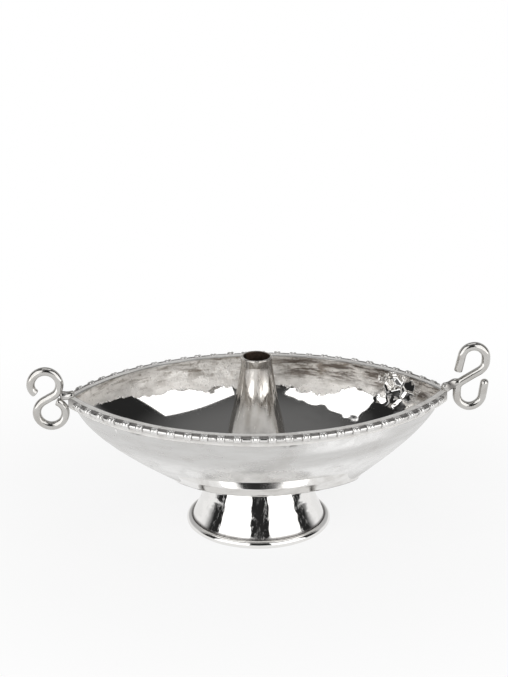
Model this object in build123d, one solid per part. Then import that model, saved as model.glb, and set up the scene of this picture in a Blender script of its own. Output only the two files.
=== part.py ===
from build123d import *
import math
import os

os.makedirs("parts", exist_ok=True)

# Butter lamp. Millimetres, +Z up, +X along the bowl, origin on the table under the foot's axis.

# Bowl: a sheet hull, pointed at both ends. Reaches run from the foot's axis.
LEFT_REACH = 95.0
RIGHT_REACH = 95.0
BOWL_WIDTH = 109.2
RIM_HEIGHT = 71.0
BOWL_SHEET = 1.2
LEFT_FLOOR_REACH = 42.0
RIGHT_FLOOR_REACH = 51.0
FLOOR_WIDTH = 43.0
RIM_TIP_RADIUS = 1.6
FLOOR_TIP_RADIUS = 13.0
LEFT_STEM_CURVE = 1.85
RIGHT_STEM_CURVE = 1.6
SIDE_CURVE = 1.6
HULL_LEVELS = 7

# Rim: a flat strip round the bowl's edge, with a bead-and-reel wire along its outer face
BAND_HEIGHT = 5.6
BAND_THICKNESS = 2.4
REEL_DIAMETER = 2.9
KNOB_DIAMETER = 3.8
KNOB_LENGTH = 3.6
KNOB_WAIST_DIAMETER = 3.1
KNOB_PITCH = 8.5
BEAD_SEAT = 1.1
BEAD_DROP = 1.4
BEAD_END_MARGIN = 4.5

# Foot: a flared shell on a wire ring, with a bevelled moulding up to the hull
FOOT_HEIGHT = 24.6
FOOT_TOP_DIAMETER = 51.8
FOOT_SHEET = 1.2
FOOT_HOLLOW = 1.0
RING_DIAMETER = 70.6
RING_WIRE = 4.2
RING_FLAT_DEPTH = 0.2
COLLAR_HEIGHT = 11.4
COLLAR_BASE_END = 1.8
COLLAR_EDGE_RISE = 7.3
COLLAR_EDGE_WIDTH = 68.8
COLLAR_EDGE_END = 3.6
COLLAR_EDGE_TIP_RADIUS = 8.0
COLLAR_TUCK = 1.0

# Fixings on the foot's axis
BOLT_DIAMETER = 6.0
BOLT_HEAD_DIAMETER = 14.0
BOLT_HEAD_HEIGHT = 4.5
BOLT_TAIL = 1.6
BOLT_HOLE_CLEARANCE = 0.2
THREAD_CLEARANCE = 0.05
SEAL_DIAMETER = 20.0
SEAL_THICKNESS = 1.2
WASHER_DIAMETER = 24.0
WASHER_THICKNESS = 1.5
NUT_ACROSS_FLATS = 10.0
NUT_HEIGHT = 5.0

# Wick tube: a flared tube that stands loose on the bowl's floor
TUBE_HEIGHT = 65.4
TUBE_OFFSET_X = -1.0
TUBE_MOUTH_DIAMETER = 15.9
TUBE_BASE_DIAMETER = 34.4
TUBE_WALL = 1.2
MOUTH_LENGTH = 4.4
SHOULDER_DIAMETER = 25.0
SHOULDER_DROP = 29.7
FLARE_ANGLE = 12.8
FEED_NOTCH_WIDTH = 6.0
FEED_NOTCH_COUNT = 4

# Scroll handles: round wire, each bent both ways from the place where it meets the tip
HANDLE_WIRE = 4.4
HANDLE_END_ROUND = 0.7
LEFT_GAP = 2.1
LEFT_JOIN_RISE = 6.5
LEFT_LOOP_RADIUS = 7.3
LEFT_CURL_RADIUS = 5.5
LEFT_CURL_ANGLE = 58.0
LEFT_CROSS_ANGLE = 60.6
LEFT_CROSS_RUN = 5.05
LEFT_TUCK_RADIUS = 6.3
LEFT_TUCK_ANGLE = 54.0
RIGHT_GAP = 2.6
RIGHT_JOIN_RISE = 0.5
RIGHT_ELBOW_RADIUS = 4.6
RIGHT_ELBOW_ANGLE = 58.0
RIGHT_CROSS_RUN = 11.0
RIGHT_HOOK_RADIUS = 6.2
RIGHT_HOOK_SIDE = 1.9
RIGHT_HOOK_ANGLE = 168.0
RIGHT_HOOK_LEG = 8.9
RIGHT_STEM_RUN = 3.1
RIGHT_BOWL_RADIUS = 6.6
RIGHT_BOWL_ANGLE = 172.0
RIGHT_BOWL_LEG = 9.0

# Pegs between the scrolls and the tips
PEG_DIAMETER = 4.2
PEG_LAP = 3.4
PEG_RISE = 0.3

# Places that follow from the sizes above
HALF_WIDTH = BOWL_WIDTH / 2
HULL_DEPTH = RIM_HEIGHT - FOOT_HEIGHT
FLOOR_TOP = FOOT_HEIGHT + BOWL_SHEET
LEFT_TIP_X = -(LEFT_REACH + BAND_THICKNESS)
RIGHT_TIP_X = RIGHT_REACH + BAND_THICKNESS
RING_RADIUS = RING_DIAMETER / 2
RING_CENTRE_Z = RING_WIRE / 2 - RING_FLAT_DEPTH
BOLT_HOLE_RADIUS = BOLT_DIAMETER / 2 + BOLT_HOLE_CLEARANCE
BEAD_Z = RIM_HEIGHT - BEAD_DROP
BEAD_OFFSET = BAND_THICKNESS + BEAD_SEAT
HALF_TURN_ANGLE = 180.0
OVERCUT = 2.0
ROOM = 2 * (LEFT_REACH + RIGHT_REACH)


class Outline:
    """A boat-shaped outline: four quarter arcs that meet broadside, and a round tip at each end."""

    def __init__(self, left, right, half, tip):
        self.left = left
        self.right = right
        self.half = half
        self.tip = tip

    def grown(self, amount):
        return Outline(self.left + amount, self.right + amount, self.half + amount, self.tip + amount)

    def arc(self, reach):
        """Centre offset and radius of the side arc that ends in the tip at this reach."""
        run = reach - self.tip
        rise = self.half - self.tip
        offset = (run**2 - rise**2) / (2 * rise)
        return offset, self.half + offset

    def tangent(self, reach):
        """Where the side arc meets the tip's arc."""
        offset, radius = self.arc(reach)
        stretch = radius / (radius - self.tip)
        return (reach - self.tip) * stretch, offset * (stretch - 1)

    def side_point(self, end, angle):
        """Point on the side arc towards one end (-1 left, 1 right), at an angle from broadside."""
        offset, radius = self.arc(self.right if end > 0 else self.left)
        turn = math.radians(angle)
        return end * radius * math.sin(turn), radius * math.cos(turn) - offset

    def side_angle(self, end):
        """Angle from broadside to the tip's tangent point."""
        reach = self.right if end > 0 else self.left
        offset, radius = self.arc(reach)
        x, y = self.tangent(reach)
        return math.degrees(math.atan2(x, y + offset))

    def face(self, z):
        edges = []
        for side in (1, -1):
            for end in (-1, 1):
                angle = self.side_angle(end)
                points = [self.side_point(end, angle * share) for share in (0, 0.5, 1)]
                edges.append(ThreePointArc(*[(x, side * y, z) for x, y in points]))
        for end, reach in ((-1, self.left), (1, self.right)):
            x, y = self.tangent(reach)
            edges.append(ThreePointArc((end * x, y, z), (end * reach, 0, z), (end * x, -y, z)))
        return make_face(edges)


def swell(share, curve):
    """Share of the way from floor to rim outline at a share of the depth, upright at the rim."""
    return 1 - (1 - min(share, 1)) ** curve


def slant(share, curve):
    """Slope of swell, outward run for each unit of height share."""
    return curve * (1 - min(share, 1)) ** (curve - 1)


def hull_outline(z):
    """Outside outline of the hull at one height."""
    share = (z - FOOT_HEIGHT) / HULL_DEPTH
    left = LEFT_FLOOR_REACH + (LEFT_REACH - LEFT_FLOOR_REACH) * swell(share, LEFT_STEM_CURVE)
    right = RIGHT_FLOOR_REACH + (RIGHT_REACH - RIGHT_FLOOR_REACH) * swell(share, RIGHT_STEM_CURVE)
    half = FLOOR_WIDTH / 2 + (HALF_WIDTH - FLOOR_WIDTH / 2) * swell(share, SIDE_CURVE)
    tip = FLOOR_TIP_RADIUS + (RIM_TIP_RADIUS - FLOOR_TIP_RADIUS) * min(share, 1)
    return Outline(left, right, half, tip)


def cavity_outline(z):
    """Inside outline: the sheet's thickness is laid off square to the wall."""
    share = (z - FOOT_HEIGHT) / HULL_DEPTH
    outer = hull_outline(z)

    def wall(span, curve):
        return BOWL_SHEET * math.hypot(1, span / HULL_DEPTH * slant(share, curve))

    left = outer.left - wall(LEFT_REACH - LEFT_FLOOR_REACH, LEFT_STEM_CURVE)
    right = outer.right - wall(RIGHT_REACH - RIGHT_FLOOR_REACH, RIGHT_STEM_CURVE)
    half = outer.half - wall(HALF_WIDTH - FLOOR_WIDTH / 2, SIDE_CURVE)
    tip = outer.tip * (1 - BOWL_SHEET / (2 * RIM_TIP_RADIUS))
    return Outline(left, right, half, tip)


def levels(low, high, count):
    return [low + (high - low) * step / (count - 1) for step in range(count)]


def block(x0, x1, y0, y1, z0, z1):
    centre = Pos((x0 + x1) / 2, (y0 + y1) / 2, (z0 + z1) / 2)
    return centre * Box(x1 - x0, y1 - y0, z1 - z0)


def rod(diameter, low, high):
    """Upright round bar on the foot's axis."""
    return Pos(0, 0, (low + high) / 2) * Cylinder(diameter / 2, high - low)


def hull_solid():
    """The hull's outside shape, filled."""
    return loft([hull_outline(z).face(z) for z in levels(FOOT_HEIGHT, RIM_HEIGHT, HULL_LEVELS)])


def bowl(hull):
    heights = levels(FLOOR_TOP, RIM_HEIGHT, HULL_LEVELS) + [RIM_HEIGHT + OVERCUT]
    cavity = loft([cavity_outline(z).face(z) for z in heights])
    hole = rod(2 * BOLT_HOLE_RADIUS, FOOT_HEIGHT - OVERCUT, FLOOR_TOP + OVERCUT)
    return hull - cavity - hole


def rim_slab(grow, low, high):
    """Rim outline, grown outwards, as an upright slab."""
    return extrude(hull_outline(RIM_HEIGHT).grown(grow).face(low), amount=high - low, dir=(0, 0, 1))


def half_space(side):
    """Block that holds the front (-1) or back (1) half."""
    return block(-ROOM, ROOM, min(0, side * ROOM), max(0, side * ROOM), 0, ROOM)


def rim_band(hull, side):
    strip = rim_slab(BAND_THICKNESS, RIM_HEIGHT - BAND_HEIGHT, RIM_HEIGHT)
    return (strip - hull) & half_space(side)


def knob():
    """Pair of round beads with a waist between them, along X."""
    crown = KNOB_DIAMETER / 2
    waist = KNOB_WAIST_DIAMETER / 2
    end = KNOB_LENGTH / 2
    profile = make_face(
        [
            Line((-end, 0), (-end, waist)),
            ThreePointArc((-end, waist), (-end / 2, crown), (0, waist)),
            ThreePointArc((0, waist), (end / 2, crown), (end, waist)),
            Line((end, waist), (end, 0)),
            Line((end, 0), (-end, 0)),
        ]
    )
    return revolve(profile, Axis.X)


def beaded_wire(side):
    """Bead-and-reel wire along one side of the rim, flat where it lies against the band."""
    line = hull_outline(RIM_HEIGHT).grown(BEAD_OFFSET)
    runs = {}
    edges = []
    for end in (-1, 1):
        radius = line.arc(line.right if end > 0 else line.left)[1]
        runs[end] = radius * math.radians(line.side_angle(end)) - BEAD_END_MARGIN
        stop = math.degrees(runs[end] / radius)
        points = [line.side_point(end, stop * share) for share in (0, 0.5, 1)]
        edges.append(ThreePointArc(*[(x, side * y, BEAD_Z) for x, y in points]))
    path = Wire(edges)
    wire = sweep(Plane(origin=path @ 0, z_dir=path % 0) * Circle(REEL_DIAMETER / 2), path=path)
    count = round((runs[-1] + runs[1]) / KNOB_PITCH)
    pitch = (runs[-1] + runs[1]) / count
    for step in range(count):
        along = (step + 0.5) * pitch - runs[-1]
        end = 1 if along > 0 else -1
        radius = line.arc(line.right if end > 0 else line.left)[1]
        angle = math.degrees(abs(along) / radius)
        x, y = line.side_point(end, angle)
        wire += Pos(x, side * y, BEAD_Z) * Rot(0, 0, -side * end * angle) * knob()
    return wire - rim_slab(BAND_THICKNESS, RIM_HEIGHT - BAND_HEIGHT - OVERCUT, RIM_HEIGHT + OVERCUT)


def bent_edges(start, heading, bends):
    """Edges of a bent wire: runs are lengths, bends are (radius, turn) with left turns positive."""
    edges = []
    x, y = start
    for bend in bends:
        direction = (math.cos(math.radians(heading)), math.sin(math.radians(heading)))
        if isinstance(bend, tuple):
            radius, turn = bend
            edge = JernArc((x, y), direction, radius, turn)
            heading += turn
        else:
            edge = Line((x, y), (x + bend * direction[0], y + bend * direction[1]))
        edges.append(edge)
        finish = edge @ 1
        x, y = finish.X, finish.Y
    return edges


def scroll(join, upper, lower):
    """Round wire in the X-Z plane, bent upwards and downwards from the place where it is joined."""
    path = Plane.XZ * Wire(bent_edges(join, 90, upper) + bent_edges(join, -90, lower))
    wire = sweep(Plane(origin=path @ 0, z_dir=path % 0) * Circle(HANDLE_WIRE / 2), path=path)
    ends = [face.edges() for face in wire.faces().filter_by(GeomType.PLANE)]
    return fillet([edge for group in ends for edge in group], HANDLE_END_ROUND)


def left_join():
    return LEFT_TIP_X - HANDLE_WIRE / 2 - LEFT_GAP, RIM_HEIGHT + LEFT_JOIN_RISE


def right_join():
    return RIGHT_TIP_X + HANDLE_WIRE / 2 + RIGHT_GAP, RIM_HEIGHT + RIGHT_JOIN_RISE


def scroll_handle_left():
    upper = [(LEFT_LOOP_RADIUS, HALF_TURN_ANGLE), (LEFT_CURL_RADIUS, LEFT_CURL_ANGLE)]
    lower = [
        (LEFT_LOOP_RADIUS, -LEFT_CROSS_ANGLE),
        LEFT_CROSS_RUN,
        (LEFT_LOOP_RADIUS, LEFT_CROSS_ANGLE + HALF_TURN_ANGLE),
        (LEFT_TUCK_RADIUS, LEFT_TUCK_ANGLE),
    ]
    return scroll(left_join(), upper, lower)


def scroll_handle_right():
    upper = [
        (RIGHT_ELBOW_RADIUS, -RIGHT_ELBOW_ANGLE),
        RIGHT_CROSS_RUN,
        (RIGHT_HOOK_RADIUS, RIGHT_ELBOW_ANGLE),
        RIGHT_HOOK_SIDE,
        (RIGHT_HOOK_RADIUS, RIGHT_HOOK_ANGLE),
        RIGHT_HOOK_LEG,
    ]
    lower = [RIGHT_STEM_RUN, (RIGHT_BOWL_RADIUS, RIGHT_BOWL_ANGLE), RIGHT_BOWL_LEG]
    return scroll(right_join(), upper, lower)


def tip_peg(tip_x, join_x, wire):
    """Peg that laps over the tip of the rim bands and is saddled to the scroll's wire."""
    inner_x = tip_x - math.copysign(PEG_LAP, tip_x)
    bar = Rot(0, 90, 0) * Cylinder(PEG_DIAMETER / 2, abs(join_x - inner_x))
    peg = Pos((inner_x + join_x) / 2, 0, RIM_HEIGHT + PEG_RISE) * bar
    return peg - rim_slab(BAND_THICKNESS, RIM_HEIGHT - BAND_HEIGHT, RIM_HEIGHT) - wire


def tip_peg_left():
    """The left scroll is a full round loop where the peg meets it."""
    x, z = left_join()
    loop = Rot(90, 0, 0) * Torus(LEFT_LOOP_RADIUS, HANDLE_WIRE / 2)
    return tip_peg(LEFT_TIP_X, x, Pos(x - LEFT_LOOP_RADIUS, 0, z) * loop)


def tip_peg_right():
    """The right scroll is an upright stem where the peg meets it."""
    x, z = right_join()
    stem = Cylinder(HANDLE_WIRE / 2, 4 * PEG_DIAMETER)
    return tip_peg(RIGHT_TIP_X, x, Pos(x, 0, z) * stem)


def bowed_arc(start, finish, bow):
    """Arc whose middle stands off its chord by bow, to the right of the way it runs."""
    dx = finish[0] - start[0]
    dy = finish[1] - start[1]
    length = math.hypot(dx, dy)
    middle = ((start[0] + finish[0]) / 2 + bow * dy / length, (start[1] + finish[1]) / 2 - bow * dx / length)
    return ThreePointArc(start, middle, finish)


def foot():
    """Flared shell: its side bows in, and its lower edge is let into the ring."""
    top_radius = FOOT_TOP_DIAMETER / 2
    outer_top = (top_radius, FOOT_HEIGHT)
    outer_low = (RING_RADIUS, RING_CENTRE_Z)
    inner_top = (top_radius - FOOT_SHEET, FOOT_HEIGHT - FOOT_SHEET)
    inner_low = (RING_RADIUS - FOOT_SHEET, RING_CENTRE_Z)
    profile = make_face(
        [
            Line((BOLT_HOLE_RADIUS, FOOT_HEIGHT), outer_top),
            bowed_arc(outer_top, outer_low, FOOT_HOLLOW),
            Line(outer_low, inner_low),
            bowed_arc(inner_low, inner_top, -FOOT_HOLLOW),
            Line(inner_top, (BOLT_HOLE_RADIUS, FOOT_HEIGHT - FOOT_SHEET)),
            Line((BOLT_HOLE_RADIUS, FOOT_HEIGHT - FOOT_SHEET), (BOLT_HOLE_RADIUS, FOOT_HEIGHT)),
        ]
    )
    return revolve(Plane.XZ * profile, Axis.Z)


def foot_ring(shell):
    ring = Pos(0, 0, RING_CENTRE_Z) * Torus(RING_RADIUS, RING_WIRE / 2)
    return ring - block(-ROOM, ROOM, -ROOM, ROOM, -RING_WIRE, 0) - shell


def foot_collar(hull):
    """Bevelled moulding: as wide as the foot below, out to an edge, and back to the hull above."""
    base = hull_outline(FOOT_HEIGHT)
    base.half = FOOT_TOP_DIAMETER / 2
    base.left += COLLAR_BASE_END
    base.right += COLLAR_BASE_END
    edge_z = FOOT_HEIGHT + COLLAR_EDGE_RISE
    edge = hull_outline(edge_z)
    edge.half = COLLAR_EDGE_WIDTH / 2
    edge.left -= COLLAR_EDGE_END
    edge.right -= COLLAR_EDGE_END
    edge.tip = COLLAR_EDGE_TIP_RADIUS
    top_z = FOOT_HEIGHT + COLLAR_HEIGHT
    top = hull_outline(top_z).grown(-COLLAR_TUCK)
    faces = [base.face(FOOT_HEIGHT), edge.face(edge_z), top.face(top_z)]
    return loft(faces, ruled=True) - hull


def domed_bolt(seat_z, tail_z):
    """Dome-headed bolt: the head is a cap of a sphere above its seat."""
    head_radius = BOLT_HEAD_DIAMETER / 2
    sphere_radius = (head_radius**2 + BOLT_HEAD_HEIGHT**2) / (2 * BOLT_HEAD_HEIGHT)
    dome = Pos(0, 0, seat_z + BOLT_HEAD_HEIGHT - sphere_radius) * Sphere(sphere_radius)
    head = dome & rod(BOLT_HEAD_DIAMETER, seat_z, seat_z + BOLT_HEAD_HEIGHT + OVERCUT)
    return head + rod(BOLT_DIAMETER, tail_z, seat_z)


def washer(diameter, low, thickness):
    return rod(diameter, low, low + thickness) - rod(2 * BOLT_HOLE_RADIUS, low - OVERCUT, low + thickness + OVERCUT)


def clamp_nut(low):
    nut = extrude(
        Pos(0, 0, low) * RegularPolygon(NUT_ACROSS_FLATS / 2, 6, major_radius=False), amount=NUT_HEIGHT
    )
    return nut - rod(BOLT_DIAMETER + 2 * THREAD_CLEARANCE, low - OVERCUT, low + NUT_HEIGHT + OVERCUT)


def tube_side(shift):
    """Tube wall line from base to mouth, moved in by shift: swelling below, hollow above, then straight."""
    base = (TUBE_BASE_DIAMETER / 2 - shift, 0)
    shoulder = (SHOULDER_DIAMETER / 2 - shift, TUBE_HEIGHT - SHOULDER_DROP)
    neck = (TUBE_MOUTH_DIAMETER / 2 - shift, TUBE_HEIGHT - MOUTH_LENGTH)
    mouth = (TUBE_MOUTH_DIAMETER / 2 - shift, TUBE_HEIGHT)

    def bow(low, high):
        chord = math.degrees(math.atan2(low[0] - high[0], high[1] - low[1]))
        return math.dist(low, high) / 2 * math.tan(math.radians(FLARE_ANGLE - chord) / 2)

    swelling = bowed_arc(base, shoulder, bow(base, shoulder))
    hollow = bowed_arc(shoulder, neck, -bow(shoulder, neck))
    return [swelling, hollow, Line(neck, mouth)]


def wick_tube():
    outer_mouth = (TUBE_MOUTH_DIAMETER / 2, TUBE_HEIGHT)
    inner_mouth = (TUBE_MOUTH_DIAMETER / 2 - TUBE_WALL, TUBE_HEIGHT)
    outer_base = (TUBE_BASE_DIAMETER / 2, 0)
    inner_base = (TUBE_BASE_DIAMETER / 2 - TUBE_WALL, 0)
    edges = tube_side(0) + tube_side(TUBE_WALL)
    edges += [Line(outer_mouth, inner_mouth), Line(outer_base, inner_base)]
    tube = revolve(Plane.XZ * make_face(edges), Axis.Z)
    for step in range(FEED_NOTCH_COUNT):
        notch = Cylinder(FEED_NOTCH_WIDTH / 2, TUBE_BASE_DIAMETER)
        turn = 360 / FEED_NOTCH_COUNT * (step + 0.5)
        tube -= Rot(0, 0, turn) * Pos(TUBE_BASE_DIAMETER / 2, 0, 0) * Rot(0, 90, 0) * notch
    return Pos(TUBE_OFFSET_X, 0, FLOOR_TOP) * tube


def lamp():
    """All the pieces, by name."""
    hull = hull_solid()
    shell = foot()
    washer_z = FOOT_HEIGHT - FOOT_SHEET - WASHER_THICKNESS
    nut_z = washer_z - NUT_HEIGHT
    return {
        "bowl": bowl(hull),
        "rim_band_front": rim_band(hull, -1),
        "rim_band_back": rim_band(hull, 1),
        "beaded_wire_front": beaded_wire(-1),
        "beaded_wire_back": beaded_wire(1),
        "scroll_handle_left": scroll_handle_left(),
        "scroll_handle_right": scroll_handle_right(),
        "tip_peg_left": tip_peg_left(),
        "tip_peg_right": tip_peg_right(),
        "foot_collar": foot_collar(hull),
        "foot": shell,
        "foot_ring": foot_ring(shell),
        "foot_bolt": domed_bolt(FLOOR_TOP + SEAL_THICKNESS, nut_z - BOLT_TAIL),
        "sealing_washer": washer(SEAL_DIAMETER, FLOOR_TOP, SEAL_THICKNESS),
        "clamp_washer": washer(WASHER_DIAMETER, washer_z, WASHER_THICKNESS),
        "clamp_nut": clamp_nut(nut_z),
        "wick_tube": wick_tube(),
    }


for name, piece in lamp().items():
    export_step(piece, f"parts/{name}.step")
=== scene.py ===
import math

import bpy
import numpy as np
from mathutils import Matrix, Vector


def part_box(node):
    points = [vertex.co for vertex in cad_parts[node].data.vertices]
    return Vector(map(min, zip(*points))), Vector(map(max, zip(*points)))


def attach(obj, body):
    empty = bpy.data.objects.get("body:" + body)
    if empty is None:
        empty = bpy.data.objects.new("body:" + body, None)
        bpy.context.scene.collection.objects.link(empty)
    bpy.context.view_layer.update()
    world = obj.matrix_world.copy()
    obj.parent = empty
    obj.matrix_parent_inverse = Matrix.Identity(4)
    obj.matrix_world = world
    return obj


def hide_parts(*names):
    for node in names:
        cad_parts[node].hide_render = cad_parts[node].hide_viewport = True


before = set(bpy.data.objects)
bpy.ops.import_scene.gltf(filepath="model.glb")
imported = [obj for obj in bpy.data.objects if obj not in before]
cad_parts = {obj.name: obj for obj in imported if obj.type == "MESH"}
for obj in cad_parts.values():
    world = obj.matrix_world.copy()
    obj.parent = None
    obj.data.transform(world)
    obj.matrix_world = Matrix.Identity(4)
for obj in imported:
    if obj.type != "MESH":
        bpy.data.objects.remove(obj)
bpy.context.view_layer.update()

# Butter lamp: a beaten silver boat on a spun foot, with a beaded rim, wire scrolls at the tips
# and a loose wick tube. Metres, +Z up, +X along the bowl.

MM = 0.001

# Places read from the frame
BOWL_LOW, BOWL_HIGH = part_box("bowl")
BAND_LOW, BAND_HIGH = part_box("rim_band_front")
BEAD_LOW, BEAD_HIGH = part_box("beaded_wire_front")
_, COLLAR_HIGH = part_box("foot_collar")
FOOT_LOW, FOOT_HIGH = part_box("foot")
_, RING_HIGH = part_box("foot_ring")
TUBE_LOW, TUBE_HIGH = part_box("wick_tube")
LEFT_PEG_LOW, LEFT_PEG_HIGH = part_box("tip_peg_left")
RIGHT_PEG_LOW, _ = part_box("tip_peg_right")
LEFT_SCROLL_LOW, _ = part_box("scroll_handle_left")
RIGHT_SCROLL_LOW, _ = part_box("scroll_handle_right")

# Bowl
FLOOR_Z = BOWL_LOW.z
RIM_Z = BOWL_HIGH.z
HULL_DEPTH = RIM_Z - FLOOR_Z
LEFT_REACH = -BOWL_LOW.x
RIGHT_REACH = BOWL_HIGH.x
HALF_WIDTH = BOWL_HIGH.y
SHEET = 1.2 * MM
LEFT_FLOOR_REACH = 42.0 * MM
RIGHT_FLOOR_REACH = 51.0 * MM
FLOOR_HALF_WIDTH = 21.5 * MM
RIM_TIP_RADIUS = 1.6 * MM
FLOOR_TIP_RADIUS = 13.0 * MM
LEFT_STEM_CURVE = 1.85
RIGHT_STEM_CURVE = 1.6
SIDE_CURVE = 1.6
BOLT_HOLE_RADIUS = 3.2 * MM
LIP_ROUND = 0.25
DULL_EDGE_Z = 57.0 * MM
DULL_EDGE_DIPS = ((33, 4.0, 13), (-25, 2.6, 9), (-88, -5.5, 20))
FACET_MEAN = 0.25
DULL_EDGE_SOFT = 3.0 * MM
STAINED_FROM, STAINED_TO = 1.0 * MM, 8.0 * MM
CRUMPLED_SPOTS = ((77, 18, 63), (70, 23.5, 66), (-68, -26, 62), (40, -44, 64))
CRUMPLE_SPREAD = 9.0 * MM
BROWNED_FROM, BROWNED_TO = 0.0 * MM, 26.0 * MM
BROWNED_Z = 61.0 * MM
DENTED_FROM, DENTED_TO = 14.0 * MM, 30.0 * MM
FLAWS = ((-63, 63.8, 3.0), (13, 63.2, 3.2), (74, 63.6, 2.6))
FLAW_HEIGHT = 0.8 * MM
# Painted light on the hull's outside: a highlight high on the right, and a lighter band low down
PAINTED_LIGHT_SPOTS = ((42, 61, 22, 4.5, 1.0), (5, 39, 75, 8.0, 0.75))

# Rim
BAND_THICKNESS = BAND_HIGH.x - RIGHT_REACH
BAND_ROUND = 0.4 * MM
LIP_COVER = 0.8 * MM
REEL_RADIUS = 1.25 * MM
KNOB_RADIUS = 1.95 * MM
KNOB_WAIST = 1.5 * MM
KNOB_LENGTH = 3.6 * MM
KNOB_PITCH = 8.5 * MM
BEAD_GROOVE = 0.5 * MM
BEAD_SEAT = 1.1 * MM
BEAD_END_MARGIN = 9.6 * MM
BEAD_Z = (BEAD_LOW.z + BEAD_HIGH.z) / 2
BAND_CROWN, BAND_HOOK = 0.12 * MM, 0.8 * MM
BAND_SWING = 0.08 * MM
BEAD_STEP = 0.22 * MM
BEAD_UNEVENNESS = 0.1
BEAD_WOBBLE = (0.95, 1.05)
GROOVE_LEFT = 0.72
# Painted shade in the grooves beside each knob, and on the reels' upper side under the lip
GROOVE_SHADE = 3.0
REEL_TOP_SHADE_SPAN = (0.35, 0.75)
REEL_TOP_SHADE = 0.75

# Foot
FOOT_TOP_RADIUS = 25.9 * MM
FOOT_SHEET = 1.2 * MM
FOOT_HOLLOW = 0.5 * MM
RING_WIRE_RADIUS = 2.1 * MM
COLLAR_HEIGHT = 11.4 * MM
COLLAR_BASE_END = 1.8 * MM
COLLAR_EDGE_RISE = 7.3 * MM
COLLAR_EDGE_END = 3.6 * MM
COLLAR_EDGE_TIP_RADIUS = 8.0 * MM
COLLAR_TUCK = 1.0 * MM
COLLAR_EDGE_ROUND = (0.95, 0.1)

# Wick tube
TUBE_X = (TUBE_LOW.x + TUBE_HIGH.x) / 2
TUBE_HEIGHT = TUBE_HIGH.z - TUBE_LOW.z
TUBE_BASE_RADIUS = (TUBE_HIGH.x - TUBE_LOW.x) / 2
TUBE_MOUTH_RADIUS = 7.95 * MM
TUBE_WALL = 1.2 * MM
MOUTH_LENGTH = 4.4 * MM
SHOULDER_RADIUS = 12.5 * MM
SHOULDER_DROP = 29.7 * MM
FLARE_ANGLE = 12.8
FEED_NOTCH_RADIUS = 3.0 * MM
FEED_NOTCH_COUNT = 4
# Turn and facing range of the painted reflection low on the tube
REFLECTION_TURN = 12.0
REFLECTION_EDGE = (0.58, 0.74)

# Scroll handles
WIRE_RADIUS = 2.2 * MM
WIRE_STEP = 0.5 * MM
LEFT_LOOP = 7.3 * MM
LEFT_JOIN = (LEFT_SCROLL_LOW.x + 2 * LEFT_LOOP + WIRE_RADIUS, RIM_Z + 6.5 * MM)
LEFT_UPPER = [(LEFT_LOOP, 180), (5.5 * MM, 58)]
LEFT_LOWER = [(LEFT_LOOP, -60.6), 5.05 * MM, (LEFT_LOOP, 240.6), (6.3 * MM, 74)]
RIGHT_ELBOW = 4.6 * MM
RIGHT_HOOK = 6.2 * MM
RIGHT_JOIN = (RIGHT_SCROLL_LOW.x + WIRE_RADIUS, RIM_Z + 0.5 * MM)
RIGHT_UPPER = [(RIGHT_ELBOW, -58), 11 * MM, (RIGHT_HOOK, 58), 1.9 * MM, (RIGHT_HOOK, 168), 8.9 * MM]
RIGHT_LOWER = [3.1 * MM, (6.6 * MM, 172), 9.0 * MM]
WIRE_END_ROUND = 0.7 * MM
PEG_RADIUS = 2.1 * MM
PEG_RISE = 0.3 * MM
RIGHT_TAIL_RISE = 3.8 * MM
PEG_LUMP, PEG_LUMPINESS = 4.5 * MM, 0.12
WIRE_WAVE, WIRE_SWING = 13.0 * MM, 0.06 * MM


class Outline:
    """A boat-shaped outline: side arcs that meet broadside, and a round tip at each end."""

    SIDE_POINTS = 132
    TIP_POINTS = 10

    def __init__(self, left, right, half, tip):
        self.left = left
        self.right = right
        self.half = half
        self.tip = tip

    def grown(self, amount):
        return Outline(self.left + amount, self.right + amount, self.half + amount, self.tip + amount)

    def quarter(self, reach):
        """Points from broadside to the tip, in the quarter where X and Y are positive."""
        run = reach - self.tip
        rise = self.half - self.tip
        offset = (run**2 - rise**2) / (2 * rise)
        radius = self.half + offset
        stretch = radius / (radius - self.tip)
        tangent_x = run * stretch
        tangent_y = offset * (stretch - 1)
        share = np.linspace(0, 1, self.SIDE_POINTS, endpoint=False)
        turn = math.atan2(tangent_x, tangent_y + offset) * share
        side = np.stack([radius * np.sin(turn), radius * np.cos(turn) - offset], axis=1)
        turn = math.atan2(tangent_y, tangent_x - run) * np.linspace(1, 0, self.TIP_POINTS)
        tip = np.stack([run + self.tip * np.cos(turn), self.tip * np.sin(turn)], axis=1)
        return np.concatenate([side, tip])

    def half_ring(self, side):
        """Points from tip to tip round the front (-1, left to right) or back (1, right to left)."""
        left = self.quarter(self.left) * (-1, side)
        right = self.quarter(self.right) * (1, side)
        return np.concatenate([left[::-1], right[1:]])[::-side]

    def ring(self, z):
        """The whole outline at a height, counter-clockwise seen from above."""
        flat = np.concatenate([self.half_ring(-1), self.half_ring(1)[1:-1]])
        return np.column_stack([flat, np.full(len(flat), z)])


def swell(share, curve):
    """Share of the way from floor to rim outline at a share of the depth, upright at the rim."""
    return 1 - (1 - min(share, 1)) ** curve


def slant(share, curve):
    return curve * (1 - min(share, 1)) ** (curve - 1)


def hull_outline(z):
    share = (z - FLOOR_Z) / HULL_DEPTH
    left = LEFT_FLOOR_REACH + (LEFT_REACH - LEFT_FLOOR_REACH) * swell(share, LEFT_STEM_CURVE)
    right = RIGHT_FLOOR_REACH + (RIGHT_REACH - RIGHT_FLOOR_REACH) * swell(share, RIGHT_STEM_CURVE)
    half = FLOOR_HALF_WIDTH + (HALF_WIDTH - FLOOR_HALF_WIDTH) * swell(share, SIDE_CURVE)
    tip = FLOOR_TIP_RADIUS + (RIM_TIP_RADIUS - FLOOR_TIP_RADIUS) * min(share, 1)
    return Outline(left, right, half, tip)


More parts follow.
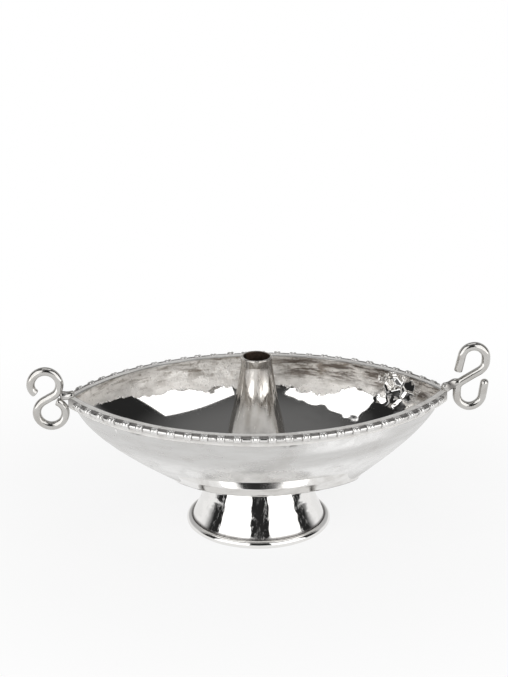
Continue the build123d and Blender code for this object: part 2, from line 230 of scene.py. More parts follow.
def cavity_outline(z):
    """Inside outline: the sheet's thickness is laid off square to the wall."""
    share = (z - FLOOR_Z) / HULL_DEPTH
    outer = hull_outline(z)

    def wall(span, curve):
        return SHEET * math.hypot(1, span / HULL_DEPTH * slant(share, curve))

    left = outer.left - wall(LEFT_REACH - LEFT_FLOOR_REACH, LEFT_STEM_CURVE)
    right = outer.right - wall(RIGHT_REACH - RIGHT_FLOOR_REACH, RIGHT_STEM_CURVE)
    half = outer.half - wall(HALF_WIDTH - FLOOR_HALF_WIDTH, SIDE_CURVE)
    return Outline(left, right, half, outer.tip * (1 - SHEET / (2 * RIM_TIP_RADIUS)))


# Mesh making


def waves(points, size, seed):
    """Smooth, seeded unevenness over points in space, mostly between -1 and 1."""
    draw = np.random.default_rng(seed)
    total = np.zeros(points.shape[:-1])
    count = 7
    for _ in range(count):
        direction = draw.normal(size=3)
        direction *= 2 * math.pi / (size * draw.uniform(0.6, 1.5) * np.linalg.norm(direction))
        total += np.sin(points @ direction + draw.uniform(0, 2 * math.pi))
    return total / math.sqrt(count)


def grid_mesh(name, points, loop=False, capped=False, **attributes):
    """Mesh over rows of points. Each row is a closed ring, and the rows may close on themselves too."""
    rows, columns = points.shape[:2]
    index = np.arange(rows * columns).reshape(rows, columns)
    low = index if loop else index[:-1]
    high = np.roll(index, -1, axis=0) if loop else index[1:]
    quads = np.stack([low, np.roll(low, -1, 1), np.roll(high, -1, 1), high], axis=-1).reshape(-1, 4)
    corners = points.reshape(-1, 3)[quads]
    volume = np.einsum("ij,ij->", corners[:, 0], np.cross(corners[:, 1], corners[:, 2]))
    volume += np.einsum("ij,ij->", corners[:, 0], np.cross(corners[:, 2], corners[:, 3]))
    faces = quads.tolist()
    if capped:
        faces += [index[0][::-1].tolist(), index[-1].tolist()]
    if volume < 0:
        faces = [face[::-1] for face in faces]
    mesh = bpy.data.meshes.new(name)
    mesh.from_pydata(points.reshape(-1, 3).tolist(), [], faces)
    mesh.shade_smooth()
    for label, values in attributes.items():
        layer = mesh.attributes.new(label, "FLOAT", "POINT")
        layer.data.foreach_set("value", np.asarray(values, np.float32).ravel())
    return mesh


def rounded(corners, radius, steps=4):
    """Closed profile with its corners rounded, and a point beside each round to keep the flats flat."""
    made = []
    corners = np.asarray(corners, float)
    for before, corner, after in zip(np.roll(corners, 1, 0), corners, np.roll(corners, -1, 0)):
        into = (before - corner) / np.linalg.norm(before - corner)
        out = (after - corner) / np.linalg.norm(after - corner)
        half_angle = math.acos(np.clip(into @ out, -1, 1)) / 2
        reach = min(radius / math.tan(half_angle), 0.4 * np.linalg.norm(before - corner),
                    0.4 * np.linalg.norm(after - corner))
        start, end = corner + into * reach, corner + out * reach
        middle = (into + out) / np.linalg.norm(into + out)
        centre = corner + middle * reach / math.cos(half_angle)
        made.append(corner + into * reach * 1.2)
        for share in np.linspace(0, 1, steps):
            spoke = (start - centre) * (1 - share) + (end - centre) * share
            made.append(centre + spoke / np.linalg.norm(spoke) * reach * math.tan(half_angle))
        made.append(corner + out * reach * 1.2)
    return np.array(made)


def arc_points(start, end, bow, count):
    """Points on an arc whose middle stands off its chord by bow, to the right of the way it runs."""
    start, end = np.asarray(start, float), np.asarray(end, float)
    chord = end - start
    length = np.linalg.norm(chord)
    across = np.array([chord[1], -chord[0]]) / length
    radius = (length**2 / 4 + bow**2) / (2 * bow)
    centre = (start + end) / 2 + across * (bow - radius)
    first = start - centre
    sweep = 4 * math.atan(2 * bow / length)
    turn = np.linspace(0, sweep, count)[:, None]
    return centre + first * np.cos(turn) + np.array([-first[1], first[0]]) * np.sin(turn)


def turned(profile, count, centre_x=0.0):
    """Rows of points for a profile of (radius, height) turned about an upright axis."""
    angle = np.linspace(0, 2 * math.pi, count, endpoint=False)
    rows = np.empty((len(profile), count, 3))
    rows[..., 0] = centre_x + profile[:, :1] * np.cos(angle)
    rows[..., 1] = profile[:, :1] * np.sin(angle)
    rows[..., 2] = profile[:, 1:]
    return rows


def shown(name, mesh, body, slot, *nodes):
    """Puts a finished mesh in the scene, on its body, in place of CAD nodes."""
    made = bpy.data.objects.new(name, mesh)
    bpy.context.scene.collection.objects.link(made)
    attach(made, body)
    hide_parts(*nodes)
    return made


# Node making


def plug(tree, socket, value):
    """Links an input, or sets its value."""
    if isinstance(value, bpy.types.NodeSocket):
        tree.links.new(value, socket)
    else:
        socket.default_value = value


def node(tree, kind, sockets=None, **settings):
    """Adds a node, with its settings, and sets or links its inputs by name or number."""
    made = tree.nodes.new(kind)
    for label, value in settings.items():
        setattr(made, label, value)
    for label, value in (sockets or {}).items():
        plug(tree, made.inputs[label], value)
    return made


def math_node(tree, operation, first, second=0.0, clamp=False):
    sockets = {0: first, 1: second}
    return node(tree, "ShaderNodeMath", sockets, operation=operation, use_clamp=clamp).outputs[0]


def times(tree, first, second, clamp=False):
    return math_node(tree, "MULTIPLY", first, second, clamp)


def plus(tree, first, second, clamp=False):
    return math_node(tree, "ADD", first, second, clamp)


def minus(tree, first, second, clamp=False):
    return math_node(tree, "SUBTRACT", first, second, clamp)


def over(tree, first, second, clamp=False):
    return math_node(tree, "DIVIDE", first, second, clamp)


def vector_node(tree, operation, first, second=(0, 0, 0)):
    return node(tree, "ShaderNodeVectorMath", {0: first, 1: second}, operation=operation)


def ramp_node(tree, value, low, high, start=0.0, end=1.0, smooth=False):
    sockets = {"Value": value, "From Min": low, "From Max": high, "To Min": start, "To Max": end}
    kind = "SMOOTHSTEP" if smooth else "LINEAR"
    return node(tree, "ShaderNodeMapRange", sockets, interpolation_type=kind).outputs["Result"]


def group(name, kind, inputs, outputs):
    """A node tree with named inputs, given as socket kind and value, and named outputs."""
    tree = bpy.data.node_groups.new(name, kind)
    for label, (socket, value) in inputs.items():
        made = tree.interface.new_socket(label, in_out="INPUT", socket_type="NodeSocket" + socket)
        if value is not None:
            made.default_value = value
    for label, socket in outputs.items():
        tree.interface.new_socket(label, in_out="OUTPUT", socket_type="NodeSocket" + socket)
    return tree, tree.nodes.new("NodeGroupInput").outputs, tree.nodes.new("NodeGroupOutput").inputs


def formed(mesh, tree, **inputs):
    """Runs a geometry tree over a mesh and gives the result as a plain mesh."""
    holder = bpy.data.objects.new(mesh.name, mesh)
    bpy.context.scene.collection.objects.link(holder)
    modifier = holder.modifiers.new(tree.name, "NODES")
    modifier.node_group = tree
    for item in tree.interface.items_tree:
        label = item.name.lower().replace(" ", "_")
        if item.in_out == "INPUT" and label in inputs:
            modifier[item.identifier] = inputs[label]
    bpy.context.view_layer.update()
    evaluated = holder.evaluated_get(bpy.context.evaluated_depsgraph_get())
    made = bpy.data.meshes.new_from_object(evaluated)
    holder.modifiers.remove(modifier)
    bpy.data.objects.remove(holder)
    return made


def finish_tree(tree, geometry, result, materials):
    """Ends a geometry tree: instances made real, smooth shading, and a material for each selection."""
    made = node(tree, "GeometryNodeRealizeInstances", {"Geometry": geometry}).outputs[0]
    made = node(tree, "GeometryNodeSetShadeSmooth", {"Geometry": made}).outputs[0]
    for material, selection in materials:
        sockets = {"Geometry": made, "Material": material}
        if selection is not None:
            sockets["Selection"] = selection
        made = node(tree, "GeometryNodeSetMaterial", sockets).outputs[0]
    tree.links.new(made, result)


# Geometry trees


def bead_and_reel_tree():
    """A wire along a path, swollen into a double bead at every pitch and flat against the band."""
    inputs = {
        "Path": ("Geometry", None),
        "Pitch": ("Float", KNOB_PITCH),
        "Reel Radius": ("Float", REEL_RADIUS),
        "Knob Radius": ("Float", KNOB_RADIUS),
        "Waist Radius": ("Float", KNOB_WAIST),
        "Knob Length": ("Float", KNOB_LENGTH),
        "Groove": ("Float", BEAD_GROOVE),
        "Seat": ("Float", BEAD_SEAT),
        "Unevenness": ("Float", BEAD_UNEVENNESS),
        "Seed": ("Int", 3),
        "Material": ("Material", None),
    }
    tree, given, result = group("Bead and reel", "GeometryNodeTree", inputs, {"Geometry": "Geometry"})
    curve = node(tree, "GeometryNodeMeshToCurve", {"Mesh": given["Path"]}).outputs[0]
    sockets = {"Curve": curve, "Length": BEAD_STEP}
    curve = node(tree, "GeometryNodeResampleCurve", sockets, mode="LENGTH").outputs[0]
    along = node(tree, "GeometryNodeSplineParameter").outputs["Length"]
    turns = over(tree, along, given["Pitch"])
    knob = math_node(tree, "FLOOR", turns)

    def drawn(low, high, shift):
        seed = plus(tree, given["Seed"], shift)
        sockets = {"Min": low, "Max": high, "ID": knob, "Seed": seed}
        made = node(tree, "FunctionNodeRandomValue", data_type="FLOAT")
        values = [socket for socket in made.outputs if socket.type == "VALUE"][0]
        for label, value in sockets.items():
            socket = [s for s in made.inputs if s.name == label and s.enabled][0]
            if isinstance(value, bpy.types.NodeSocket):
                tree.links.new(value, socket)
            else:
                socket.default_value = value
        return values

    spread = times(tree, given["Unevenness"], drawn(-1.0, 1.0, 0))
    shift = times(tree, given["Unevenness"], drawn(-0.7, 0.7, 1))
    middle = plus(tree, 0.5, shift)
    away = minus(tree, math_node(tree, "FRACT", turns), middle)
    away = math_node(tree, "ABSOLUTE", away)
    away = times(tree, away, given["Pitch"])
    quarter = over(tree, given["Knob Length"], 4.0)
    end = times(tree, quarter, 2.0)
    bead = over(tree, minus(tree, away, quarter), quarter)
    crest = minus(tree, 1.0, times(tree, bead, bead), clamp=True)
    crest = math_node(tree, "SQRT", crest)
    rise = minus(tree, given["Knob Radius"], given["Waist Radius"])
    on_knob = math_node(tree, "LESS_THAN", away, end)
    knob_radius = plus(tree, given["Waist Radius"], times(tree, rise, crest))
    knob_radius = times(tree, knob_radius, plus(tree, 1.0, spread))
    past = over(tree, minus(tree, away, end), given["Groove"])
    reel_share = ramp_node(tree, past, 0.0, 1.0, GROOVE_LEFT, 1.0, smooth=True)
    reel_radius = times(tree, given["Reel Radius"], reel_share)
    step = minus(tree, knob_radius, reel_radius)
    radius = plus(tree, reel_radius, times(tree, on_knob, step))
    wobble = node(tree, "ShaderNodeTexNoise", {"Scale": 420.0, "Detail": 2.0}).outputs["Fac"]
    radius = times(tree, radius, ramp_node(tree, wobble, 0.3, 0.7, *BEAD_WOBBLE))
    depth = minus(tree, 1.0, reel_share)
    hollow = times(tree, minus(tree, 1.0, on_knob), depth)

    capture = node(tree, "GeometryNodeCaptureAttribute", {"Geometry": curve})
    tangent = node(tree, "GeometryNodeInputTangent").outputs[0]
    outward = vector_node(tree, "CROSS_PRODUCT", tangent, (0, 0, 1)).outputs[0]
    place = node(tree, "GeometryNodeInputPosition").outputs[0]
    for label, kind, value in (("Centre", "VECTOR", place), ("Outward", "VECTOR", outward),
                               ("Hollow", "FLOAT", times(tree, hollow, GROOVE_SHADE)),
                               ("Reel", "FLOAT", minus(tree, 1.0, on_knob)),
                               ("Radius", "FLOAT", radius)):
        capture.capture_items.new(kind, label)
        tree.links.new(value, capture.inputs[label])
    circle = node(tree, "GeometryNodeCurvePrimitiveCircle", {"Resolution": 20, "Radius": 1.0}).outputs[0]
    sockets = {"Curve": capture.outputs[0], "Profile Curve": circle, "Scale": capture.outputs["Radius"],
               "Fill Caps": True}
    mesh = node(tree, "GeometryNodeCurveToMesh", sockets).outputs[0]
    spoke = vector_node(tree, "SUBTRACT", place, capture.outputs["Centre"]).outputs[0]
    upward = node(tree, "ShaderNodeSeparateXYZ", {0: spoke}).outputs["Z"]
    upward = over(tree, upward, capture.outputs["Radius"])
    # Painted shade: darker on each reel's upper side, and in the grooves beside the knobs
    reel_top_shade = ramp_node(tree, upward, *REEL_TOP_SHADE_SPAN, 0.0, REEL_TOP_SHADE, smooth=True)
    reel_top_shade = times(tree, reel_top_shade, capture.outputs["Reel"])
    shade_and_grime = math_node(tree, "MAXIMUM", reel_top_shade, capture.outputs["Hollow"])
    sockets = {"Geometry": mesh, "Name": "grime", "Value": shade_and_grime}
    stored = node(tree, "GeometryNodeStoreNamedAttribute", sockets, data_type="FLOAT", domain="POINT")
    depth = vector_node(tree, "DOT_PRODUCT", spoke, capture.outputs["Outward"]).outputs["Value"]
    back = times(tree, given["Seat"], -1.0)
    push = math_node(tree, "MAXIMUM", minus(tree, back, depth), 0.0)
    sockets = {0: capture.outputs["Outward"], "Scale": push}
    scaled = node(tree, "ShaderNodeVectorMath", sockets, operation="SCALE")
    sockets = {"Geometry": stored.outputs[0], "Offset": scaled.outputs[0]}
    mesh = node(tree, "GeometryNodeSetPosition", sockets).outputs[0]
    finish_tree(tree, mesh, result["Geometry"], [(given["Material"], None)])
    return tree


def beaten_sheet_tree():
    """Hammer marks and crinkles on the bowl's sheet, as strong as its painted attributes say."""
    inputs = {
        "Sheet": ("Geometry", None),
        "Facet Size": ("Float", 6.0 * MM),
        "Facet Depth": ("Float", 0.55 * MM),
        "Crinkle Size": ("Float", 3.6 * MM),
        "Crinkle Depth": ("Float", 0.6 * MM),
        "Dent Size": ("Float", 8.0 * MM),
        "Dent Depth": ("Float", 0.16 * MM),
        "Crumple Size": ("Float", 6.5 * MM),
        "Crumple Tilt": ("Float", 0.55),
        "Planish Size": ("Float", 26.0 * MM),
        "Planish Depth": ("Float", 0.2 * MM),
        "Outer Planish": ("Float", 2.2),
        "Lengthening": ("Vector", (0.5, 0.5, 1.0)),
        "Inside": ("Material", None),
        "Outside": ("Material", None),
    }
    tree, given, result = group("Beaten sheet", "GeometryNodeTree", inputs, {"Geometry": "Geometry"})

    def attribute(label):
        made = node(tree, "GeometryNodeInputNamedAttribute", {"Name": label}, data_type="FLOAT")
        return made.outputs[0]

    place = node(tree, "GeometryNodeInputPosition").outputs[0]
    long_place = vector_node(tree, "MULTIPLY", place, given["Lengthening"]).outputs[0]

    def noise(size, detail, where):
        sockets = {"Vector": where, "Scale": over(tree, 1.0, given[size]), "Detail": detail}
        return minus(tree, node(tree, "ShaderNodeTexNoise", sockets).outputs["Fac"], 0.5)

    sockets = {"Vector": long_place, "Scale": over(tree, 1.0, given["Facet Size"])}
    cell = node(tree, "ShaderNodeTexVoronoi", sockets, feature="SMOOTH_F1").outputs["Distance"]
    facet = minus(tree, times(tree, cell, cell), FACET_MEAN)
    facet = times(tree, facet, given["Facet Depth"])
    crinkle = times(tree, noise("Crinkle Size", 1.5, long_place), given["Crinkle Depth"])
    beaten = times(tree, plus(tree, facet, crinkle), attribute("beaten"))
    sockets = {"Vector": place, "Scale": over(tree, 1.0, given["Crumple Size"])}
    fold = node(tree, "ShaderNodeTexVoronoi", sockets).outputs
    lean = vector_node(tree, "SUBTRACT", fold["Color"], (0.5, 0.5, 0.5)).outputs[0]
    apart = vector_node(tree, "SUBTRACT", place, fold["Position"]).outputs[0]
    crumple = vector_node(tree, "DOT_PRODUCT", lean, apart).outputs["Value"]
    crumple = times(tree, crumple, given["Crumple Tilt"])
    crumple = times(tree, crumple, attribute("crumpled"))
    planish = times(tree, noise("Planish Size", 0.0, place), given["Planish Depth"])
    outer = ramp_node(tree, attribute("inside"), 0.0, 1.0, given["Outer Planish"], 1.0)
    planish = times(tree, planish, outer)
    dent = times(tree, noise("Dent Size", 1.0, place), given["Dent Depth"])
    dent = times(tree, dent, attribute("dented"))
    height = plus(tree, plus(tree, beaten, crumple), plus(tree, planish, dent))
    normal = node(tree, "GeometryNodeInputNormal").outputs["Normal"]
    scaled = node(tree, "ShaderNodeVectorMath", {0: normal, "Scale": height}, operation="SCALE")
    sockets = {"Geometry": given["Sheet"], "Offset": scaled.outputs[0]}
    mesh = node(tree, "GeometryNodeSetPosition", sockets).outputs[0]
    inside = math_node(tree, "GREATER_THAN", attribute("inside"), 0.5)
    finish_tree(tree, mesh, result["Geometry"], [(given["Outside"], None), (given["Inside"], inside)])
    return tree


# Shared finishes


def polish_lines_group():
    """Fine lines left by polishing or drawing, stretched along a direction."""
    inputs = {"Vector": ("Vector", None), "Stretch": ("Vector", (1, 1, 1)), "Density": ("Float", 1500.0)}
    tree, given, result = group("Polish lines", "ShaderNodeTree", inputs, {"Lines": "Float"})
    place = vector_node(tree, "MULTIPLY", given["Vector"], given["Stretch"]).outputs[0]
    sockets = {"Vector": place, "Scale": given["Density"], "Detail": 3.0, "Roughness": 0.65}
    tree.links.new(node(tree, "ShaderNodeTexNoise", sockets).outputs["Fac"], result["Lines"])
    return tree


def tarnish_group():
    """Cloudy patches where the plate has dulled."""
    inputs = {
        "Vector": ("Vector", None),
        "Scale": ("Float", 60.0),
        "Cover": ("Float", 0.4),
        "Soft": ("Float", 0.1),
    }
    tree, given, result = group("Tarnish clouds", "ShaderNodeTree", inputs, {"Mask": "Float"})
    sockets = {
        "Vector": given["Vector"],
        "Scale": given["Scale"],
        "Detail": 5.0,
        "Roughness": 0.6,
        "Distortion": 0.4,
    }
    cloud = node(tree, "ShaderNodeTexNoise", sockets).outputs["Fac"]
    edge = minus(tree, 1.0, given["Cover"])
    low = minus(tree, edge, given["Soft"])
    high = plus(tree, edge, given["Soft"])
    tree.links.new(ramp_node(tree, cloud, low, high, smooth=True), result["Mask"])
    return tree


def pits_group():
    """Scattered small pits in the plate."""
    inputs = {
        "Vector": ("Vector", None),
        "Scale": ("Float", 130.0),
        "Share": ("Float", 0.1),
        "Radius": ("Float", 0.09),
    }
    tree, given, result = group("Plate pits", "ShaderNodeTree", inputs, {"Mask": "Float"})
    place = vector_node(tree, "MULTIPLY", given["Vector"], (0.55, 1, 1)).outputs[0]
    cell = node(tree, "ShaderNodeTexVoronoi", {"Vector": place, "Scale": given["Scale"]})
    half = times(tree, given["Radius"], 0.4)
    spot = ramp_node(tree, cell.outputs["Distance"], half, given["Radius"], 1.0, 0.0, smooth=True)
    draw = node(tree, "ShaderNodeSeparateColor", {0: cell.outputs["Color"]}).outputs[0]
    chosen = math_node(tree, "LESS_THAN", draw, given["Share"])
    tree.links.new(times(tree, spot, chosen), result["Mask"])
    return tree


POLISH_LINES = polish_lines_group()
TARNISH = tarnish_group()
PITS = pits_group()

SILVER = (0.82, 0.81, 0.795, 1)
SATIN_SILVER = (0.66, 0.655, 0.645, 1)
# Paler silver for the painted light on the hull
PAINTED_LIGHT_SILVER = (0.97, 0.965, 0.955, 1)
BEAD_SILVER = (0.75, 0.74, 0.725, 1)
WIRE_SILVER = (0.55, 0.54, 0.52, 1)
MATT_SILVER = (0.90, 0.885, 0.86, 1)
WARM_SILVER = (0.87, 0.84, 0.80, 1)
TUBE_SILVER = (0.64, 0.615, 0.58, 1)
# Pale, nearly matt colour of the tube's painted reflection
PAINTED_REFLECTION_PALE = (0.95, 0.93, 0.90, 1)
TARNISHED = (0.30, 0.26, 0.22, 1)
BURNT = (0.11, 0.09, 0.075, 1)
# Dark for dirt, pits and painted shade
SHADE_AND_GRIME_DARK = (0.06, 0.05, 0.045, 1)
SMOKE_BROWN = (0.16, 0.11, 0.08, 1)
SOOT = (0.03, 0.02, 0.015, 1)
BRASS = (0.72, 0.55, 0.27, 1)
BROWNED_BRASS = (0.32, 0.21, 0.1, 1)
LEATHER = (0.2, 0.11, 0.06, 1)
GREASY_LEATHER = (0.08, 0.045, 0.03, 1)

PIT_DEPTH = 0.12 * MM
DULL_GRAIN = 0.17 * MM
TURNING_DEPTH = 0.02 * MM
LEATHER_GRAIN_DEPTH = 0.15 * MM


def new_material(name):
    made = bpy.data.materials.new(name)
    made.use_nodes = True
    tree = made.node_tree
    return made, tree, tree.nodes["Principled BSDF"]


def object_place(tree):
    return node(tree, "ShaderNodeTexCoord").outputs["Object"]


def painted(tree, label):
    """Strength of a mark that is painted on the piece's own mesh."""
    return node(tree, "ShaderNodeAttribute", attribute_name=label).outputs["Fac"]


def placed(tree, shared, **values):
    """Places a shared finish and gives what it puts out."""
    made = tree.nodes.new("ShaderNodeGroup")
    made.node_tree = shared
    for label, value in values.items():
        plug(tree, made.inputs[label.capitalize()], value)
    return made.outputs[0]


def mixed(tree, share, first, second):
    """Colour between two, by a share."""
    sockets = {0: share, 6: first, 7: second}
    return node(tree, "ShaderNodeMix", sockets, data_type="RGBA").outputs[2]


def bumped(tree, height):
    sockets = {"Height": height, "Distance": 1.0, "Strength": 1.0}
    return node(tree, "ShaderNodeBump", sockets).outputs["Normal"]


def silver(name, tone=SILVER, gloss=0.1, stretch=(1, 1, 1), density=1500.0, line_depth=0.002 * MM,
           cover=0.35, cloud_scale=60.0, pit_share=0.05, streak=0.0, bare=1.0, dulling=0.22, scuff=0.0):
    """Silver plate with fine lines, dull clouds, pits, and dirt and painted shade from the piece's mesh."""
    made, tree, shader = new_material(name)
    place = object_place(tree)
    lines = placed(tree, POLISH_LINES, vector=place, stretch=stretch, density=density)
    clouds = placed(tree, TARNISH, vector=place, scale=cloud_scale, cover=cover, soft=0.12)
    pits = placed(tree, PITS, vector=place, share=pit_share)
    # Dirt and painted shade, as each piece's mesh gives them
    shade_and_grime = painted(tree, "grime")
    shade_and_grime = times(tree, shade_and_grime, ramp_node(tree, lines, 0.3, 0.65, 0.75, 1.0))
    dulled = times(tree, clouds, dulling)
    dulled = plus(tree, dulled, ramp_node(tree, lines, 0.4, 0.65, 0.0, streak), clamp=True)
    colour = mixed(tree, dulled, tone, TARNISHED)
    colour = mixed(tree, shade_and_grime, colour, SHADE_AND_GRIME_DARK)
    colour = mixed(tree, times(tree, pits, 0.8), colour, SHADE_AND_GRIME_DARK)
    tree.links.new(colour, shader.inputs["Base Color"])
    rough = ramp_node(tree, lines, 0.3, 0.7, gloss * 0.8, gloss * 1.25)
    rough = plus(tree, rough, times(tree, clouds, 0.08))
    if scuff:
        scuffs = placed(tree, POLISH_LINES, vector=place, stretch=(1, 1, 0.14), density=620.0)
        rough = plus(tree, rough, ramp_node(tree, scuffs, 0.5, 0.66, 0.0, scuff, smooth=True))
    rough = plus(tree, rough, times(tree, shade_and_grime, 0.3), clamp=True)
    tree.links.new(rough, shader.inputs["Roughness"])
    height = times(tree, lines, line_depth)
    height = minus(tree, height, times(tree, pits, PIT_DEPTH))
    tree.links.new(bumped(tree, height), shader.inputs["Normal"])
    shader.inputs["Metallic"].default_value = bare
    return made


def satin_silver():
    """Outside of the bowl: clouded satin, with painted light in places."""
    made = silver("satin_silver", tone=SATIN_SILVER, gloss=0.24, stretch=(0.2, 0.2, 1), density=240.0,
                  cover=0.4, cloud_scale=32.0, pit_share=0.06, streak=0.12, dulling=0.16)
    tree = made.node_tree
    shader = tree.nodes["Principled BSDF"]
    # Painted light in a paler silver, broken up by clouds
    painted_light = painted(tree, "painted_light")
    breakup = placed(tree, TARNISH, vector=object_place(tree), scale=110.0, cover=0.55, soft=0.2)
    painted_light = times(tree, painted_light, ramp_node(tree, breakup, 0.0, 1.0, 0.35, 1.0))
    satin = shader.inputs["Base Color"].links[0].from_socket
    tree.links.new(mixed(tree, painted_light, satin, PAINTED_LIGHT_SILVER), shader.inputs["Base Color"])
    return made


def beaten_silver():
    """Inside of the bowl: bright below, dull and mottled where the hammer marks were left."""
    made, tree, shader = new_material("beaten_silver")
    place = object_place(tree)
    long_place = vector_node(tree, "MULTIPLY", place, (0.4, 0.4, 1)).outputs[0]
    beaten = painted(tree, "beaten")
    crumpled = painted(tree, "crumpled")
    ragged = placed(tree, TARNISH, vector=place, scale=190.0, cover=0.5, soft=0.3)
    edge = plus(tree, beaten, ramp_node(tree, ragged, 0.0, 1.0, -0.3, 0.3))
    edge = minus(tree, edge, times(tree, crumpled, 0.9))
    dull = ramp_node(tree, edge, 0.42, 0.56, smooth=True)
    mottle = placed(tree, TARNISH, vector=long_place, scale=190.0, cover=0.4, soft=0.07)
    browned = painted(tree, "browned")
    specks = placed(tree, TARNISH, vector=place, scale=400.0, cover=0.42, soft=0.08)
    stain = ramp_node(tree, mottle, 0.0, 1.0, 0.0, 0.62)
    stain = plus(tree, stain, ramp_node(tree, specks, 0.0, 1.0, 0.0, 0.42))
    streaks = placed(tree, POLISH_LINES, vector=place, stretch=(0.14, 0.14, 1), density=480.0)
    dark = times(tree, browned, ramp_node(tree, streaks, 0.44, 0.6, 0.0, 0.85, smooth=True))
    dark = times(tree, dull, dark)
    streaks = ramp_node(tree, streaks, 0.5, 0.66, 0.0, 0.6, smooth=True)
    stain = plus(tree, stain, streaks)
    stain = plus(tree, stain, times(tree, browned, 0.35), clamp=True)
    stained = painted(tree, "stained")
    stained = times(tree, dull, ramp_node(tree, stained, 0.0, 1.0, 0.25, 1.0))
    stain = times(tree, stained, stain)
    colour = mixed(tree, dull, SILVER, WARM_SILVER)
    colour = mixed(tree, stain, colour, TARNISHED)
    colour = mixed(tree, dark, colour, BURNT)
    tree.links.new(colour, shader.inputs["Base Color"])
    lines = placed(tree, POLISH_LINES, vector=place, density=900.0)
    bright_rough = ramp_node(tree, lines, 0.3, 0.7, 0.03, 0.06)
    dull_rough = times(tree, dull, ramp_node(tree, mottle, 0.0, 1.0, 0.24, 0.36))
    tree.links.new(plus(tree, bright_rough, dull_rough), shader.inputs["Roughness"])
    height = times(tree, lines, times(tree, dull, DULL_GRAIN))
    tree.links.new(bumped(tree, height), shader.inputs["Normal"])
    tree.links.new(ramp_node(tree, dull, 0.0, 1.0, 1.0, 0.5), shader.inputs["Metallic"])
    return made


def drawn_silver():
    """Outside of the wick tube: streaked along its length, with a pale painted reflection lower down."""
    made = silver("drawn_silver", tone=TUBE_SILVER, gloss=0.05, stretch=(1, 1, 0.03), density=420.0,
                  line_depth=0.01 * MM, cover=0.35, pit_share=0.02, streak=0.4, scuff=0.24)
    tree = made.node_tree
    shader = tree.nodes["Principled BSDF"]
    place = object_place(tree)
    # Painted reflection: pale and nearly matt low on the tube, broken up by clouds
    film = painted(tree, "film")
    breakup = placed(tree, TARNISH, vector=place, scale=140.0, cover=0.5, soft=0.3)
    film = times(tree, film, ramp_node(tree, breakup, 0.0, 1.0, 0.75, 1.0))
    metal = shader.inputs["Base Color"].links[0].from_socket
    tree.links.new(mixed(tree, film, metal, PAINTED_REFLECTION_PALE), shader.inputs["Base Color"])
    tree.links.new(ramp_node(tree, film, 0.0, 1.0, 0.95, 0.1), shader.inputs["Metallic"])
    return made


def smoked_bore():
    """Inside of the wick tube: brown with soot and old butter."""
    made, tree, shader = new_material("smoked_bore")
    place = object_place(tree)
    soot = placed(tree, TARNISH, vector=place, scale=220.0, cover=0.55, soft=0.25)
    tree.links.new(mixed(tree, soot, SMOKE_BROWN, SOOT), shader.inputs["Base Color"])
    tree.links.new(ramp_node(tree, soot, 0.0, 1.0, 0.35, 0.7), shader.inputs["Roughness"])
    shader.inputs["Metallic"].default_value = 0.6
    return made


def turned_brass():
    """Bolt, washer and nut: plain brass with turning marks, browned in patches."""
    made, tree, shader = new_material("turned_brass")
    place = object_place(tree)
    lines = placed(tree, POLISH_LINES, vector=place, stretch=(0.1, 0.1, 1), density=2600.0)
    clouds = placed(tree, TARNISH, vector=place, scale=260.0, cover=0.45, soft=0.2)
    tree.links.new(mixed(tree, clouds, BRASS, BROWNED_BRASS), shader.inputs["Base Color"])
    tree.links.new(ramp_node(tree, clouds, 0.0, 1.0, 0.24, 0.42), shader.inputs["Roughness"])
    tree.links.new(bumped(tree, times(tree, lines, TURNING_DEPTH)), shader.inputs["Normal"])
    shader.inputs["Metallic"].default_value = 1.0
    return made


def greased_leather():
    """Sealing washer: dark leather with a fine grain and a greasy sheen in patches."""
    made, tree, shader = new_material("greased_leather")
    place = object_place(tree)
    grain = node(tree, "ShaderNodeTexVoronoi", {"Vector": place, "Scale": 1800.0}).outputs["Distance"]
    clouds = placed(tree, TARNISH, vector=place, scale=300.0, cover=0.5, soft=0.2)
    tree.links.new(mixed(tree, clouds, LEATHER, GREASY_LEATHER), shader.inputs["Base Color"])
    tree.links.new(ramp_node(tree, clouds, 0.0, 1.0, 0.6, 0.35), shader.inputs["Roughness"])
    tree.links.new(bumped(tree, times(tree, grain, LEATHER_GRAIN_DEPTH)), shader.inputs["Normal"])
    return made


# Pieces


def smooth_share(values, low, high):
    share = np.clip((values - low) / (high - low), 0, 1)
    return share * share * (3 - 2 * share)


def disc_rows(ring, shares):
    """Rows that shrink a flat ring to the bolt hole, by shares of the way."""
    angle = np.arctan2(ring[:, 1], ring[:, 0])
    hole = np.column_stack([np.cos(angle), np.sin(angle), np.zeros(len(angle))]) * BOLT_HOLE_RADIUS
    hole[:, 2] = ring[:, 2]
    return [ring + (hole - ring) * share for share in shares]


def bowl_rows():
    """Rows of the bowl's sheet, from the bolt hole out, over the lip and back, and which are inside."""
    outside_z = np.linspace(FLOOR_Z, RIM_Z - LIP_ROUND * SHEET, 58)
    inside_z = np.linspace(RIM_Z - LIP_ROUND * SHEET, FLOOR_Z + SHEET, 84)
    rows = disc_rows(hull_outline(FLOOR_Z).ring(FLOOR_Z), np.linspace(1, 0, 5, endpoint=False))
    rows += [hull_outline(z).ring(z) for z in outside_z]
    lip_out = hull_outline(RIM_Z).ring(RIM_Z)
    lip_in = cavity_outline(RIM_Z).ring(RIM_Z)
    for share in (0.3, 1.0):
        across = LIP_ROUND * (1 - math.sqrt(1 - share**2))
        drop = SHEET * LIP_ROUND * (1 - share)
        rows.append(lip_out + (lip_in - lip_out) * across - (0, 0, drop))
    for share in (1.0, 0.3):
        across = 1 - LIP_ROUND * (1 - math.sqrt(1 - share**2))
        drop = SHEET * LIP_ROUND * (1 - share)
        rows.append(lip_out + (lip_in - lip_out) * across - (0, 0, drop))
    first_inside = len(rows)
    rows += [cavity_outline(z).ring(z) for z in inside_z]
    rows += disc_rows(rows[-1], np.linspace(0, 1, 10)[1:])
    rows = np.array(rows)
    inside = np.zeros(rows.shape[:2])
    inside[first_inside:] = 1
    return rows, inside


